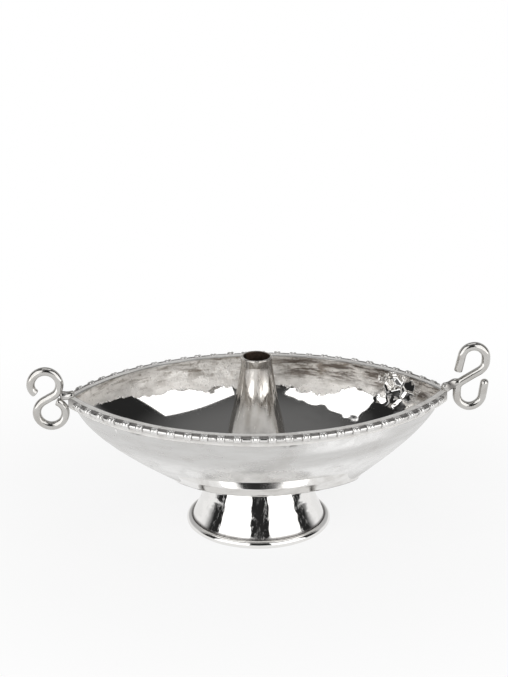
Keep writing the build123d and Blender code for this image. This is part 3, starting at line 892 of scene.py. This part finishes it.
def bowl_marks(rows, inside):
    """Inside: dull, stained, crumpled, dented and browned. Outside: pits, painted shade and painted light.
    """
    outside = 1 - inside
    x, y, z = rows[..., 0], rows[..., 1], rows[..., 2]
    edge_z = np.full(z.shape, DULL_EDGE_Z)
    for along, depth, half in DULL_EDGE_DIPS:
        edge_z -= depth * MM * np.exp(-(((x / MM - along) / half) ** 2))
    edge_z += 1.8 * MM * waves(rows * (1, 1, 0), 26 * MM, 11)
    beaten = inside * smooth_share(z, edge_z - DULL_EDGE_SOFT, edge_z + DULL_EDGE_SOFT)
    stained = inside * smooth_share(z, edge_z + STAINED_FROM, edge_z + STAINED_TO)
    crumpled = np.zeros(z.shape)
    for spot in CRUMPLED_SPOTS:
        apart = np.linalg.norm(rows - np.array(spot) * MM, axis=-1)
        crumpled = np.maximum(crumpled, inside * np.exp(-((apart / CRUMPLE_SPREAD) ** 2)))
    dented = inside * smooth_share(x, DENTED_FROM, DENTED_TO)
    browned = inside * smooth_share(x, BROWNED_FROM, BROWNED_TO)
    browned *= smooth_share(z, BROWNED_Z - 3 * MM, BROWNED_Z + 3 * MM)
    # Painted shade on the hull just under the band's lower edge; the pits on the front are added below
    grime = outside * smooth_share(z, BAND_LOW.z - 2.2 * MM, BAND_LOW.z) * 0.35
    broken = np.clip(1.6 * (0.5 + 0.5 * waves(rows, 2.6 * MM, 17)), 0, 1)
    for along, height, half in FLAWS:
        across = ((x / MM - along) / half) ** 2 + ((z - height * MM) / FLAW_HEIGHT) ** 2
        grime = np.maximum(grime, outside * (y < 0) * np.exp(-across) * broken)
    # Painted light: a highlight high on the right, and a lighter band low on the shaded lower hull
    painted_light = np.zeros(z.shape)
    for along, height, half, tall, strength in PAINTED_LIGHT_SPOTS:
        across = ((x / MM - along) / half) ** 4 + ((z / MM - height) / tall) ** 4
        painted_light = np.maximum(painted_light, outside * strength * np.exp(-across))
    return {
        "painted_light": painted_light,
        "beaten": beaten,
        "crumpled": crumpled,
        "grime": grime,
        "browned": browned,
        "dented": dented,
        "stained": stained,
    }


def bowl():
    """Raised sheet bowl, hammered inside."""
    rows, inside = bowl_rows()
    mesh = grid_mesh("beaten_bowl", rows, loop=True, inside=inside, **bowl_marks(rows, inside))
    mesh = formed(mesh, beaten_sheet_tree(), inside=beaten_silver(), outside=satin_silver())
    shown("beaten_bowl", mesh, "lamp", "silver", "bowl")


def rim_path(side, offset):
    """Points from tip to tip along the rim, moved outwards, with the outward direction at each."""
    line = hull_outline(RIM_Z).grown(offset).half_ring(side)
    along = np.gradient(line, axis=0)
    along /= np.linalg.norm(along, axis=1)[:, None]
    outward = np.column_stack([along[:, 1], -along[:, 0]])
    outward[0] = (math.copysign(1, line[0, 0]), 0)
    outward[-1] = (math.copysign(1, line[-1, 0]), 0)
    return line, outward


def rim_band(name, side, node_name, material):
    """Flat strip round the outside of the bowl's edge, its top rounded over the lip."""
    line, outward = rim_path(side, 0.0)
    band_z = BAND_LOW.z
    drop = hull_outline(RIM_Z).half - hull_outline(band_z).half
    corners = [
        (-LIP_COVER, RIM_Z + BAND_CROWN),
        (BAND_THICKNESS, RIM_Z),
        (BAND_THICKNESS, band_z),
        (-drop, band_z),
        (-LIP_COVER / 2, RIM_Z - BAND_HOOK),
    ]
    profile = rounded(corners, BAND_ROUND)
    rows = np.empty((len(line), len(profile), 3))
    rows[..., :2] = line[:, None] + outward[:, None] * profile[None, :, :1]
    rows[..., 2] = profile[None, :, 1]
    rows[..., :2] += outward[:, None] * waves(rows, 14 * MM, 5)[..., None] * BAND_SWING
    rows[..., 2] += waves(rows, 17 * MM, 6) * BAND_SWING
    # Painted shade on the band's outer face beside the bead row
    near_bead = np.abs(profile[:, 1] - BEAD_Z) < REEL_RADIUS * 1.3
    painted_bead_shade = np.where(near_bead & (profile[:, 0] > BAND_THICKNESS * 0.9), 0.7, 0.0)
    mesh = grid_mesh(name, rows, capped=True, grime=np.tile(painted_bead_shade, (len(line), 1)))
    mesh.materials.append(material)
    shown(name, mesh, "lamp", "silver", node_name)


def beaded_wire(name, side, node_name, tree, material, seed):
    """Bead-and-reel wire along the band's outer face."""
    line, _ = rim_path(side, BAND_THICKNESS + BEAD_SEAT)
    steps = np.linalg.norm(np.diff(line, axis=0), axis=1)
    along = np.concatenate([[0], np.cumsum(steps)])
    straight = (along > BEAD_END_MARGIN) & (along < along[-1] - BEAD_END_MARGIN)
    points = line[straight]
    path = bpy.data.meshes.new(name)
    edges = [(step, step + 1) for step in range(len(points) - 1)]
    path.from_pydata([(x, y, BEAD_Z) for x, y in points], edges, [])
    length = np.linalg.norm(np.diff(points, axis=0), axis=1).sum()
    pitch = length / round(length / KNOB_PITCH)
    mesh = formed(path, tree, pitch=pitch, seed=seed, material=material)
    shown(name, mesh, "lamp", "silver", node_name)


def bend_points(start, heading, bends):
    """Points along a bent wire: a run is a length, and a bend is a radius and a turn in degrees."""
    points = [np.array(start, float)]
    for bend in bends:
        radius, turn = bend if isinstance(bend, tuple) else (None, 0.0)
        length = radius * math.radians(abs(turn)) if radius else bend
        count = max(2, round(length / WIRE_STEP))
        step = 2 * radius * math.sin(math.radians(abs(turn)) / count / 2) if radius else length / count
        for _ in range(count):
            middle = math.radians(heading + turn / count / 2)
            points.append(points[-1] + step * np.array([math.cos(middle), math.sin(middle)]))
            heading += turn / count
    return np.array(points)


def scroll(name, join, upper, lower, ends, node_name, material, seed):
    """Round wire bent upwards and downwards from its join, with its two ends rounded off."""
    up = bend_points(join, 90, upper)
    down = bend_points(join, -90, lower)
    line = np.concatenate([up[::-1], down[1:]])
    along = np.gradient(line, axis=0)
    along /= np.linalg.norm(along, axis=1)[:, None]
    radii = np.full(len(line), WIRE_RADIUS)
    for place, direction, rounding in ((0, -1, ends[0]), (-1, 1, ends[1])):
        turn = np.linspace(0, math.pi / 2, 7)[1:]
        cap = line[place] + direction * along[place] * (rounding * (np.sin(turn) - 1))[:, None]
        cap_radii = WIRE_RADIUS - rounding * (1 - np.cos(turn))
        kept = np.abs((line - line[place]) @ along[place]) > rounding
        kept |= np.linalg.norm(line - line[place], axis=1) > 2 * WIRE_RADIUS
        line, along, radii = line[kept], along[kept], radii[kept]
        cap_along = np.tile(along[place], (len(turn), 1))
        line, along, radii = (
            np.concatenate([extra[::-1], main] if direction < 0 else [main, extra])
            for main, extra in ((line, cap), (along, cap_along), (radii, cap_radii))
        )
    angle = np.linspace(0, 2 * math.pi, 24, endpoint=False)
    rows = np.empty((len(line), len(angle), 3))
    rows[..., 0] = line[:, :1] - along[:, 1:] * radii[:, None] * np.cos(angle)
    rows[..., 1] = radii[:, None] * np.sin(angle)
    rows[..., 2] = line[:, 1:] + along[:, :1] * radii[:, None] * np.cos(angle)
    rows += waves(rows, WIRE_WAVE, seed)[..., None] * WIRE_SWING
    mesh = grid_mesh(name, rows, capped=True)
    mesh.materials.append(material)
    shown(name, mesh, "lamp", "silver", node_name)


def tip_peg(name, start, end, tall, node_name, material, seed):
    """Soldered peg from the rim's tip to a scroll, in the X-Z plane, lumpy where the solder ran."""
    share = np.linspace(0, 1, 40)
    turn = np.linspace(0, 2 * math.pi, 32, endpoint=False)
    rows = np.empty((len(share), len(turn), 3))
    radius = PEG_RADIUS * np.minimum(1, np.sqrt(1 - (2 * share - 1) ** 8) + 0.05)[:, None]
    line = np.array(start) + np.outer(share, np.array(end) - np.array(start))
    rows[..., 0] = line[:, :1]
    rows[..., 1] = radius * np.cos(turn)
    rows[..., 2] = radius * np.sin(turn) * tall
    rows *= (1 + PEG_LUMPINESS * waves(rows, PEG_LUMP, seed))[..., None] * (0, 1, 1) + (1, 0, 0)
    grime = np.clip(0.25 - 0.5 * waves(rows, PEG_LUMP, seed), 0, 0.7)
    rows[..., 2] += line[:, 1:]
    mesh = grid_mesh(name, rows, capped=True, grime=grime)
    mesh.materials.append(material)
    shown(name, mesh, "lamp", "silver", node_name)


def foot_collar(material):
    """Bevelled moulding between the foot and the hull, with its edge a little rounded."""
    top_z = FLOOR_Z + COLLAR_HEIGHT
    edge_z = FLOOR_Z + COLLAR_EDGE_RISE
    base = hull_outline(FLOOR_Z)
    base = Outline(base.left + COLLAR_BASE_END, base.right + COLLAR_BASE_END, FOOT_TOP_RADIUS, base.tip)
    edge = hull_outline(edge_z)
    left, right = edge.left - COLLAR_EDGE_END, edge.right - COLLAR_EDGE_END
    edge = Outline(left, right, COLLAR_HIGH.y, COLLAR_EDGE_TIP_RADIUS)
    base, edge = base.ring(FLOOR_Z), edge.ring(edge_z)
    top = hull_outline(top_z).grown(-COLLAR_TUCK).ring(top_z)
    before = base + (edge - base) * COLLAR_EDGE_ROUND[0]
    after = edge + (top - edge) * COLLAR_EDGE_ROUND[1]
    rows = [base + (before - base) * share for share in np.linspace(0, 1, 9, endpoint=False)]
    for share in np.linspace(0, 1, 7):
        rows.append(before * (1 - share) ** 2 + edge * 2 * share * (1 - share) + after * share**2)
    rows += [after + (top - after) * share for share in np.linspace(0, 1, 9)[1:]]
    rows += [hull_outline(z).grown(-COLLAR_TUCK).ring(z) for z in np.linspace(top_z, FLOOR_Z, 8)[1:]]
    rows = np.array(rows)
    rows += waves(rows, 16 * MM, 15)[..., None] * 0.04 * MM
    mesh = grid_mesh("bevelled_collar", rows, loop=True)
    mesh.materials.append(material)
    shown("bevelled_collar", mesh, "lamp", "silver", "foot_collar")


def foot(material):
    """Spun shell, bowed in, whose lower edge is let into the ring."""
    ring_radius = FOOT_HIGH.x
    top, low = FOOT_HIGH.z, FOOT_LOW.z
    outer = arc_points((FOOT_TOP_RADIUS, top), (ring_radius, low), FOOT_HOLLOW, 44)
    inner = arc_points((ring_radius - FOOT_SHEET, low), (FOOT_TOP_RADIUS - FOOT_SHEET, top - FOOT_SHEET),
                       -FOOT_HOLLOW, 30)
    flat_out = [(radius, top) for radius in np.linspace(BOLT_HOLE_RADIUS, FOOT_TOP_RADIUS, 8)[:-1]]
    flat_in = [(radius, top - FOOT_SHEET) for radius in
               np.linspace(FOOT_TOP_RADIUS - FOOT_SHEET, BOLT_HOLE_RADIUS, 8)[1:]]
    rows = turned(np.concatenate([flat_out, outer, inner, flat_in]), 256)
    swing = waves(rows * (1, 1, 1.6), 14 * MM, 21) * 0.05 * MM
    swing += waves(rows * (0.7, 0.7, 4.5), 9 * MM, 22) * 0.014 * MM
    outward = rows * (1, 1, 0) / np.linalg.norm(rows[..., :2], axis=-1)[..., None]
    rows += outward * swing[..., None]
    # Darker along the shell just above the ring
    grime = smooth_share(-rows[..., 2], -(RING_HIGH.z + 1.3 * MM), -(RING_HIGH.z + 0.1 * MM)) * 0.9
    mesh = grid_mesh("spun_foot", rows, loop=True, grime=grime)
    mesh.materials.append(material)
    shown("spun_foot", mesh, "lamp", "silver", "foot")


def foot_ring(material):
    """Wire ring under the foot, filed flat where it stands."""
    radius = FOOT_HIGH.x
    centre_z = RING_HIGH.z - RING_WIRE_RADIUS
    turn = np.linspace(0, 2 * math.pi, 28, endpoint=False)
    across, up = RING_WIRE_RADIUS * np.cos(turn), RING_WIRE_RADIUS * np.sin(turn)
    profile = np.column_stack([radius + across, centre_z + up])
    rows = turned(profile, 220)
    rows += waves(rows, 15 * MM, 31)[..., None] * 0.03 * MM
    rows[..., 2] = np.maximum(rows[..., 2], 0.0)
    # Darker along the ring's upper inner side, where the shell meets it
    crease = smooth_share(-np.cos(turn - math.radians(125)), -0.95, -0.8)
    grime = np.tile((1 - crease)[:, None] * 0.8, (1, rows.shape[1]))
    mesh = grid_mesh("rolled_foot_ring", rows, loop=True, grime=grime)
    mesh.materials.append(material)
    shown("rolled_foot_ring", mesh, "lamp", "silver", "foot_ring")


def tube_side(shift, count):
    """Tube wall from base to mouth, moved in by shift: swelling below, hollow above, then straight."""
    base = (TUBE_BASE_RADIUS - shift, 0.0)
    shoulder = (SHOULDER_RADIUS - shift, TUBE_HEIGHT - SHOULDER_DROP)
    neck = (TUBE_MOUTH_RADIUS - shift, TUBE_HEIGHT - MOUTH_LENGTH)
    mouth = (TUBE_MOUTH_RADIUS - shift, TUBE_HEIGHT)

    def bow(low, high):
        chord = math.degrees(math.atan2(low[0] - high[0], high[1] - low[1]))
        return math.dist(low, high) / 2 * math.tan(math.radians(FLARE_ANGLE - chord) / 2)

    swelling = arc_points(base, shoulder, bow(base, shoulder), count)
    hollow = arc_points(shoulder, neck, -bow(shoulder, neck), count)
    straight = np.linspace(neck, mouth, 8)
    return np.concatenate([swelling, hollow[1:], straight[1:]])


def wick_tube(material, bore):
    """Drawn tube with a smoked bore and four arched feed notches at its base."""
    outer, inner = tube_side(0.0, 26), tube_side(TUBE_WALL, 26)
    lip = np.array([(TUBE_MOUTH_RADIUS - TUBE_WALL * share, TUBE_HEIGHT + TUBE_WALL * rise)
                    for share, rise in ((0.12, 0.0), (0.5, 0.0), (0.88, 0.0))])
    outer[-1, 1] -= TUBE_WALL * 0.1
    inner[-1, 1] -= TUBE_WALL * 0.1
    profile = np.concatenate([outer, lip, inner[::-1]])
    count = 288
    rows = turned(profile, count, TUBE_X)
    angle = np.linspace(0, 2 * math.pi, count, endpoint=False)
    pace = 2 * math.pi / FEED_NOTCH_COUNT
    apart = np.abs((angle % pace) - pace / 2) * TUBE_BASE_RADIUS
    arch = np.sqrt(np.maximum(FEED_NOTCH_RADIUS**2 - apart**2, 0))
    lifted = rows[..., 2] + arch * (1 - rows[..., 2] / TUBE_HEIGHT) ** 6
    radius = np.interp(lifted, outer[:, 1], outer[:, 0])
    radius /= np.interp(rows[..., 2], outer[:, 1], outer[:, 0])
    rows[..., 0] = TUBE_X + (rows[..., 0] - TUBE_X) * radius
    rows[..., 1] *= radius
    rows[..., 2] = lifted
    swing = waves(rows * (1, 1, 0.2), 8 * MM, 41) * 0.08 * MM
    centred = (rows - (TUBE_X, 0, 0)) * (1, 1, 0)
    rows += centred / np.linalg.norm(centred, axis=-1)[..., None] * swing[..., None]
    smoke = smooth_share(rows[..., 2], TUBE_HEIGHT - 14 * MM, TUBE_HEIGHT - 3 * MM)
    smoke *= np.clip(0.2 + 0.5 * waves(rows * (1, 1, 0.35), 8 * MM, 43), 0, 0.7)
    # Painted reflection of the bowl's lit front wall, low on the tube's front and back, with a wavy top
    # edge
    edge_waves = waves(rows * (1, 1, 0.3), 7 * MM, 45)
    film = 1 - smooth_share(rows[..., 2] + 4 * MM * edge_waves, TUBE_HEIGHT - 34 * MM, TUBE_HEIGHT - 20 * MM)
    facing = np.abs(np.sin(angle + math.radians(REFLECTION_TURN)))
    film *= smooth_share(facing + 0.06 * edge_waves, *REFLECTION_EDGE)
    rows[..., 2] += TUBE_LOW.z
    mesh = grid_mesh("drawn_wick_tube", rows, loop=True, grime=smoke, film=film)
    mesh.materials.append(material)
    mesh.materials.append(bore)
    row = np.arange(len(mesh.polygons)) // count
    mesh.polygons.foreach_set("material_index", (row >= len(outer) + 2).astype(np.int32))
    shown("drawn_wick_tube", mesh, "wick_holder", "tube_silver", "wick_tube")


def fixings(brass, leather):
    for name, material in (("foot_bolt", brass), ("clamp_washer", brass), ("clamp_nut", brass),
                           ("sealing_washer", leather)):
        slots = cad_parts[name].data.materials
        slots.clear()
        slots.append(material)


def pieces():
    bright = silver("wire_silver", tone=WIRE_SILVER, gloss=0.13, cover=0.45, cloud_scale=120.0,
                    pit_share=0.03)
    band = silver("matt_silver", tone=MATT_SILVER, gloss=0.45, cover=0.45, cloud_scale=90.0,
                  pit_share=0.04, bare=0.4)
    satin = silver("collar_silver", gloss=0.12, cover=0.45, cloud_scale=90.0, pit_share=0.04)
    beads = silver("bead_silver", tone=BEAD_SILVER, gloss=0.13, cover=0.4, cloud_scale=150.0)
    mirror = silver("spun_silver", gloss=0.045, stretch=(0.04, 0.04, 1), density=1400.0, cover=0.3,
                    line_depth=0.001 * MM, pit_share=0.02)
    scuffed = silver("scuffed_silver", gloss=0.045, stretch=(0.04, 0.04, 1), density=1400.0, cover=0.3,
                     line_depth=0.001 * MM, pit_share=0.02, scuff=0.19)
    bowl()
    tree = bead_and_reel_tree()
    for side, word, seed in ((-1, "front", 3), (1, "back", 8)):
        rim_band(f"{word}_rim_band", side, f"rim_band_{word}", band)
        beaded_wire(f"{word}_bead_and_reel", side, f"beaded_wire_{word}", tree, beads, seed)
    flat_ends = (WIRE_END_ROUND, WIRE_END_ROUND)
    scroll("left_scroll", LEFT_JOIN, LEFT_UPPER, LEFT_LOWER, flat_ends, "scroll_handle_left", bright, 51)
    one_round = (WIRE_END_ROUND, WIRE_RADIUS * 0.9)
    scroll("right_scroll", RIGHT_JOIN, RIGHT_UPPER, RIGHT_LOWER, one_round, "scroll_handle_right",
           bright, 52)
    start, end = (LEFT_PEG_HIGH.x, RIM_Z + PEG_RISE), (LEFT_PEG_LOW.x, RIM_Z + 2 * PEG_RISE)
    tip_peg("left_soldered_peg", start, end, 1.05, "tip_peg_left", bright, 61)
    start = (RIGHT_PEG_LOW.x, RIM_Z + 3 * PEG_RISE)
    end = (RIGHT_JOIN[0] + PEG_RADIUS, RIM_Z + RIGHT_TAIL_RISE)
    tip_peg("right_soldered_peg", start, end, 1.25, "tip_peg_right", bright, 62)
    foot_collar(satin)
    foot(scuffed)
    foot_ring(mirror)
    wick_tube(drawn_silver(), smoked_bore())
    fixings(turned_brass(), greased_leather())


# Stage

CAMERA_TARGET = Vector((0, 0, 46.5 * MM))
CAMERA_DISTANCE = 1.1891
CAMERA_ELEVATION = 23.0
CAMERA_AZIMUTH = -2.8
FRAME_WIDTH, FRAME_HEIGHT = 508, 677
FOCAL_PIXELS = 2300.0
TARGET_PIXEL = (258.5, 436.9)
SENSOR = 36.0

SOFTBOX_DISTANCE = 1.0
SOFTBOX_AZIMUTHS = (17.0, 74.0)
SOFTBOX_TOP = 52.0
SOFTBOX_POWER = 7.5
TOP_LIGHT_HEIGHT = 0.9
TOP_LIGHT_WIDTH = 0.6
TOP_LIGHT_FRONT = 97.0
TOP_LIGHT_BACK = 74.0
TOP_LIGHT_POWER = 0.8
STUDIO_LOW_GREY = 0.022
STUDIO_HIGH_GREY = 0.15
STUDIO_GREY_RISE = (0.6, 0.88)
STUDIO_BACK_GREY = 0.5
STUDIO_BACK_REACH = (0.05, 0.4)
STUDIO_BACK_TOP = (0.7, 0.85)
STUDIO_SKYLINE_GREY = 0.45
STUDIO_SKYLINE_TOP = 0.4
TABLE_REACH = 8.0
WALL_REACH = 6.0
WALL_HEIGHT = 0.25
WALL_SIDES = 64
TABLE_WHITE = (0.85, 0.85, 0.85, 1)
TABLE_DROP = 0.05 * MM
SHADOW_NEAR, SHADOW_FAR = 0.05, 0.3
SHADOW_LIFT = 0.85


def direction(azimuth, elevation):
    """Unit vector from the lamp, with azimuth measured from the front towards +X, in degrees."""
    turn, rise = math.radians(azimuth), math.radians(elevation)
    return Vector((math.sin(turn) * math.cos(rise), -math.cos(turn) * math.cos(rise), math.sin(rise)))


def camera():
    data = bpy.data.cameras.new("camera")
    data.sensor_fit = "VERTICAL"
    data.sensor_height = SENSOR
    data.lens = FOCAL_PIXELS * SENSOR / FRAME_HEIGHT
    data.clip_start = 0.01
    made = bpy.data.objects.new("camera", data)
    bpy.context.scene.collection.objects.link(made)
    back = direction(CAMERA_AZIMUTH, CAMERA_ELEVATION)
    pitch = math.atan((TARGET_PIXEL[1] - FRAME_HEIGHT / 2) / FOCAL_PIXELS)
    yaw = math.atan((TARGET_PIXEL[0] - FRAME_WIDTH / 2) / FOCAL_PIXELS * math.cos(pitch))
    aim = (-back).to_track_quat("-Z", "Y").to_matrix().to_4x4()
    turn = Matrix.Rotation(pitch, 4, "X") @ Matrix.Rotation(yaw, 4, "Y")
    made.matrix_world = Matrix.Translation(CAMERA_TARGET + back * CAMERA_DISTANCE) @ aim @ turn
    bpy.context.scene.camera = made


def softbox(name, side):
    """Tall soft light, standing on the table to one side of the front."""
    middle = side * sum(SOFTBOX_AZIMUTHS) / 2
    half = (SOFTBOX_AZIMUTHS[1] - SOFTBOX_AZIMUTHS[0]) / 2
    data = bpy.data.lights.new(name, "AREA")
    data.shape = "RECTANGLE"
    data.size = 2 * SOFTBOX_DISTANCE * math.tan(math.radians(half))
    data.size_y = SOFTBOX_DISTANCE * math.tan(math.radians(SOFTBOX_TOP))
    data.energy = SOFTBOX_POWER
    made = bpy.data.objects.new(name, data)
    bpy.context.scene.collection.objects.link(made)
    level = direction(middle, 0)
    made.location = level * SOFTBOX_DISTANCE + Vector((0, 0, data.size_y / 2))
    made.rotation_euler = (-level).to_track_quat("-Z", "Y").to_euler()
    made.visible_camera = False


def top_light():
    """Soft light overhead, from a little in front of the lamp to further behind it."""
    front = TOP_LIGHT_HEIGHT / math.tan(math.radians(TOP_LIGHT_FRONT))
    back = TOP_LIGHT_HEIGHT / math.tan(math.radians(TOP_LIGHT_BACK))
    data = bpy.data.lights.new("top_light", "AREA")
    data.shape = "RECTANGLE"
    data.size = TOP_LIGHT_WIDTH
    data.size_y = back - front
    data.energy = TOP_LIGHT_POWER
    made = bpy.data.objects.new("top_light", data)
    bpy.context.scene.collection.objects.link(made)
    made.location = (0, (front + back) / 2, TOP_LIGHT_HEIGHT)
    made.visible_camera = False


def seen_ray(tree):
    """1 for camera, reflected and refracted rays, which see the white background."""
    path = node(tree, "ShaderNodeLightPath").outputs
    seen = math_node(tree, "MAXIMUM", path["Is Camera Ray"], path["Is Glossy Ray"])
    return math_node(tree, "MAXIMUM", seen, path["Is Transmission Ray"])


def stage_material(name, colour, near, far):
    """Pale matt surface, seen as white, but less so near the lamp, to keep its shadow."""
    made, tree, shader = new_material(name)
    shader.inputs["Base Color"].default_value = colour
    shader.inputs["Roughness"].default_value = 0.9
    shader.inputs["Specular IOR Level"].default_value = 0.1
    light = node(tree, "ShaderNodeEmission", {"Color": (1, 1, 1, 1), "Strength": 1.0}).outputs[0]
    away = vector_node(tree, "LENGTH", object_place(tree)).outputs["Value"]
    share = ramp_node(tree, away, near, far, SHADOW_LIFT, 1.0, smooth=True)
    lift = times(tree, seen_ray(tree), share)
    mix = node(tree, "ShaderNodeMixShader", {0: lift, 1: shader.outputs[0], 2: light}).outputs[0]
    tree.links.new(mix, tree.nodes["Material Output"].inputs["Surface"])
    return made


def stage_sheet(name, points, faces, material):
    mesh = bpy.data.meshes.new(name)
    mesh.from_pydata(points, [], faces)
    mesh.materials.append(material)
    made = bpy.data.objects.new(name, mesh)
    bpy.context.scene.collection.objects.link(made)


def table_and_wall():
    """White table, with a low white wall far off all round it."""
    material = stage_material("white_table", TABLE_WHITE, SHADOW_NEAR, SHADOW_FAR)
    reach, low = TABLE_REACH, -TABLE_DROP
    corners = [(-reach, -reach, low), (reach, -reach, low), (reach, reach, low), (-reach, reach, low)]
    stage_sheet("table", corners, [(0, 1, 2, 3)], material)
    count = WALL_SIDES
    turns = [2 * math.pi * step / count for step in range(count)]
    points = [(WALL_REACH * math.cos(turn), WALL_REACH * math.sin(turn), low) for turn in turns]
    points += [(x, y, WALL_HEIGHT) for x, y, _ in points]
    pairs = [(step, (step + 1) % count) for step in range(count)]
    faces = [(left, right, right + count, left + count) for left, right in pairs]
    stage_sheet("far_wall", points, faces, material)


def studio_world():
    """Dim room, a little lighter overhead and grey at the sides and back."""
    world = bpy.data.worlds.new("studio")
    bpy.context.scene.world = world
    world.use_nodes = True
    tree = world.node_tree
    way = node(tree, "ShaderNodeTexCoord").outputs["Generated"]
    parts = node(tree, "ShaderNodeSeparateXYZ", {0: way}).outputs
    grey = ramp_node(tree, parts["Z"], *STUDIO_GREY_RISE, STUDIO_LOW_GREY, STUDIO_HIGH_GREY, smooth=True)
    behind = ramp_node(tree, parts["Y"], *STUDIO_BACK_REACH, smooth=True)
    glow = ramp_node(tree, parts["Z"], *STUDIO_BACK_TOP, STUDIO_BACK_GREY, 0.0, smooth=True)
    skyline = ramp_node(tree, parts["Z"], 0.0, STUDIO_SKYLINE_TOP, STUDIO_SKYLINE_GREY, 0.0, smooth=True)
    glow = times(tree, behind, plus(tree, glow, skyline))
    grey = plus(tree, grey, glow)
    tree.links.new(grey, tree.nodes["Background"].inputs["Color"])


def stage():
    camera()
    softbox("right_softbox", 1)
    softbox("left_softbox", -1)
    top_light()
    table_and_wall()
    studio_world()
    bpy.context.scene.view_settings.view_transform = "Standard"


pieces()
stage()
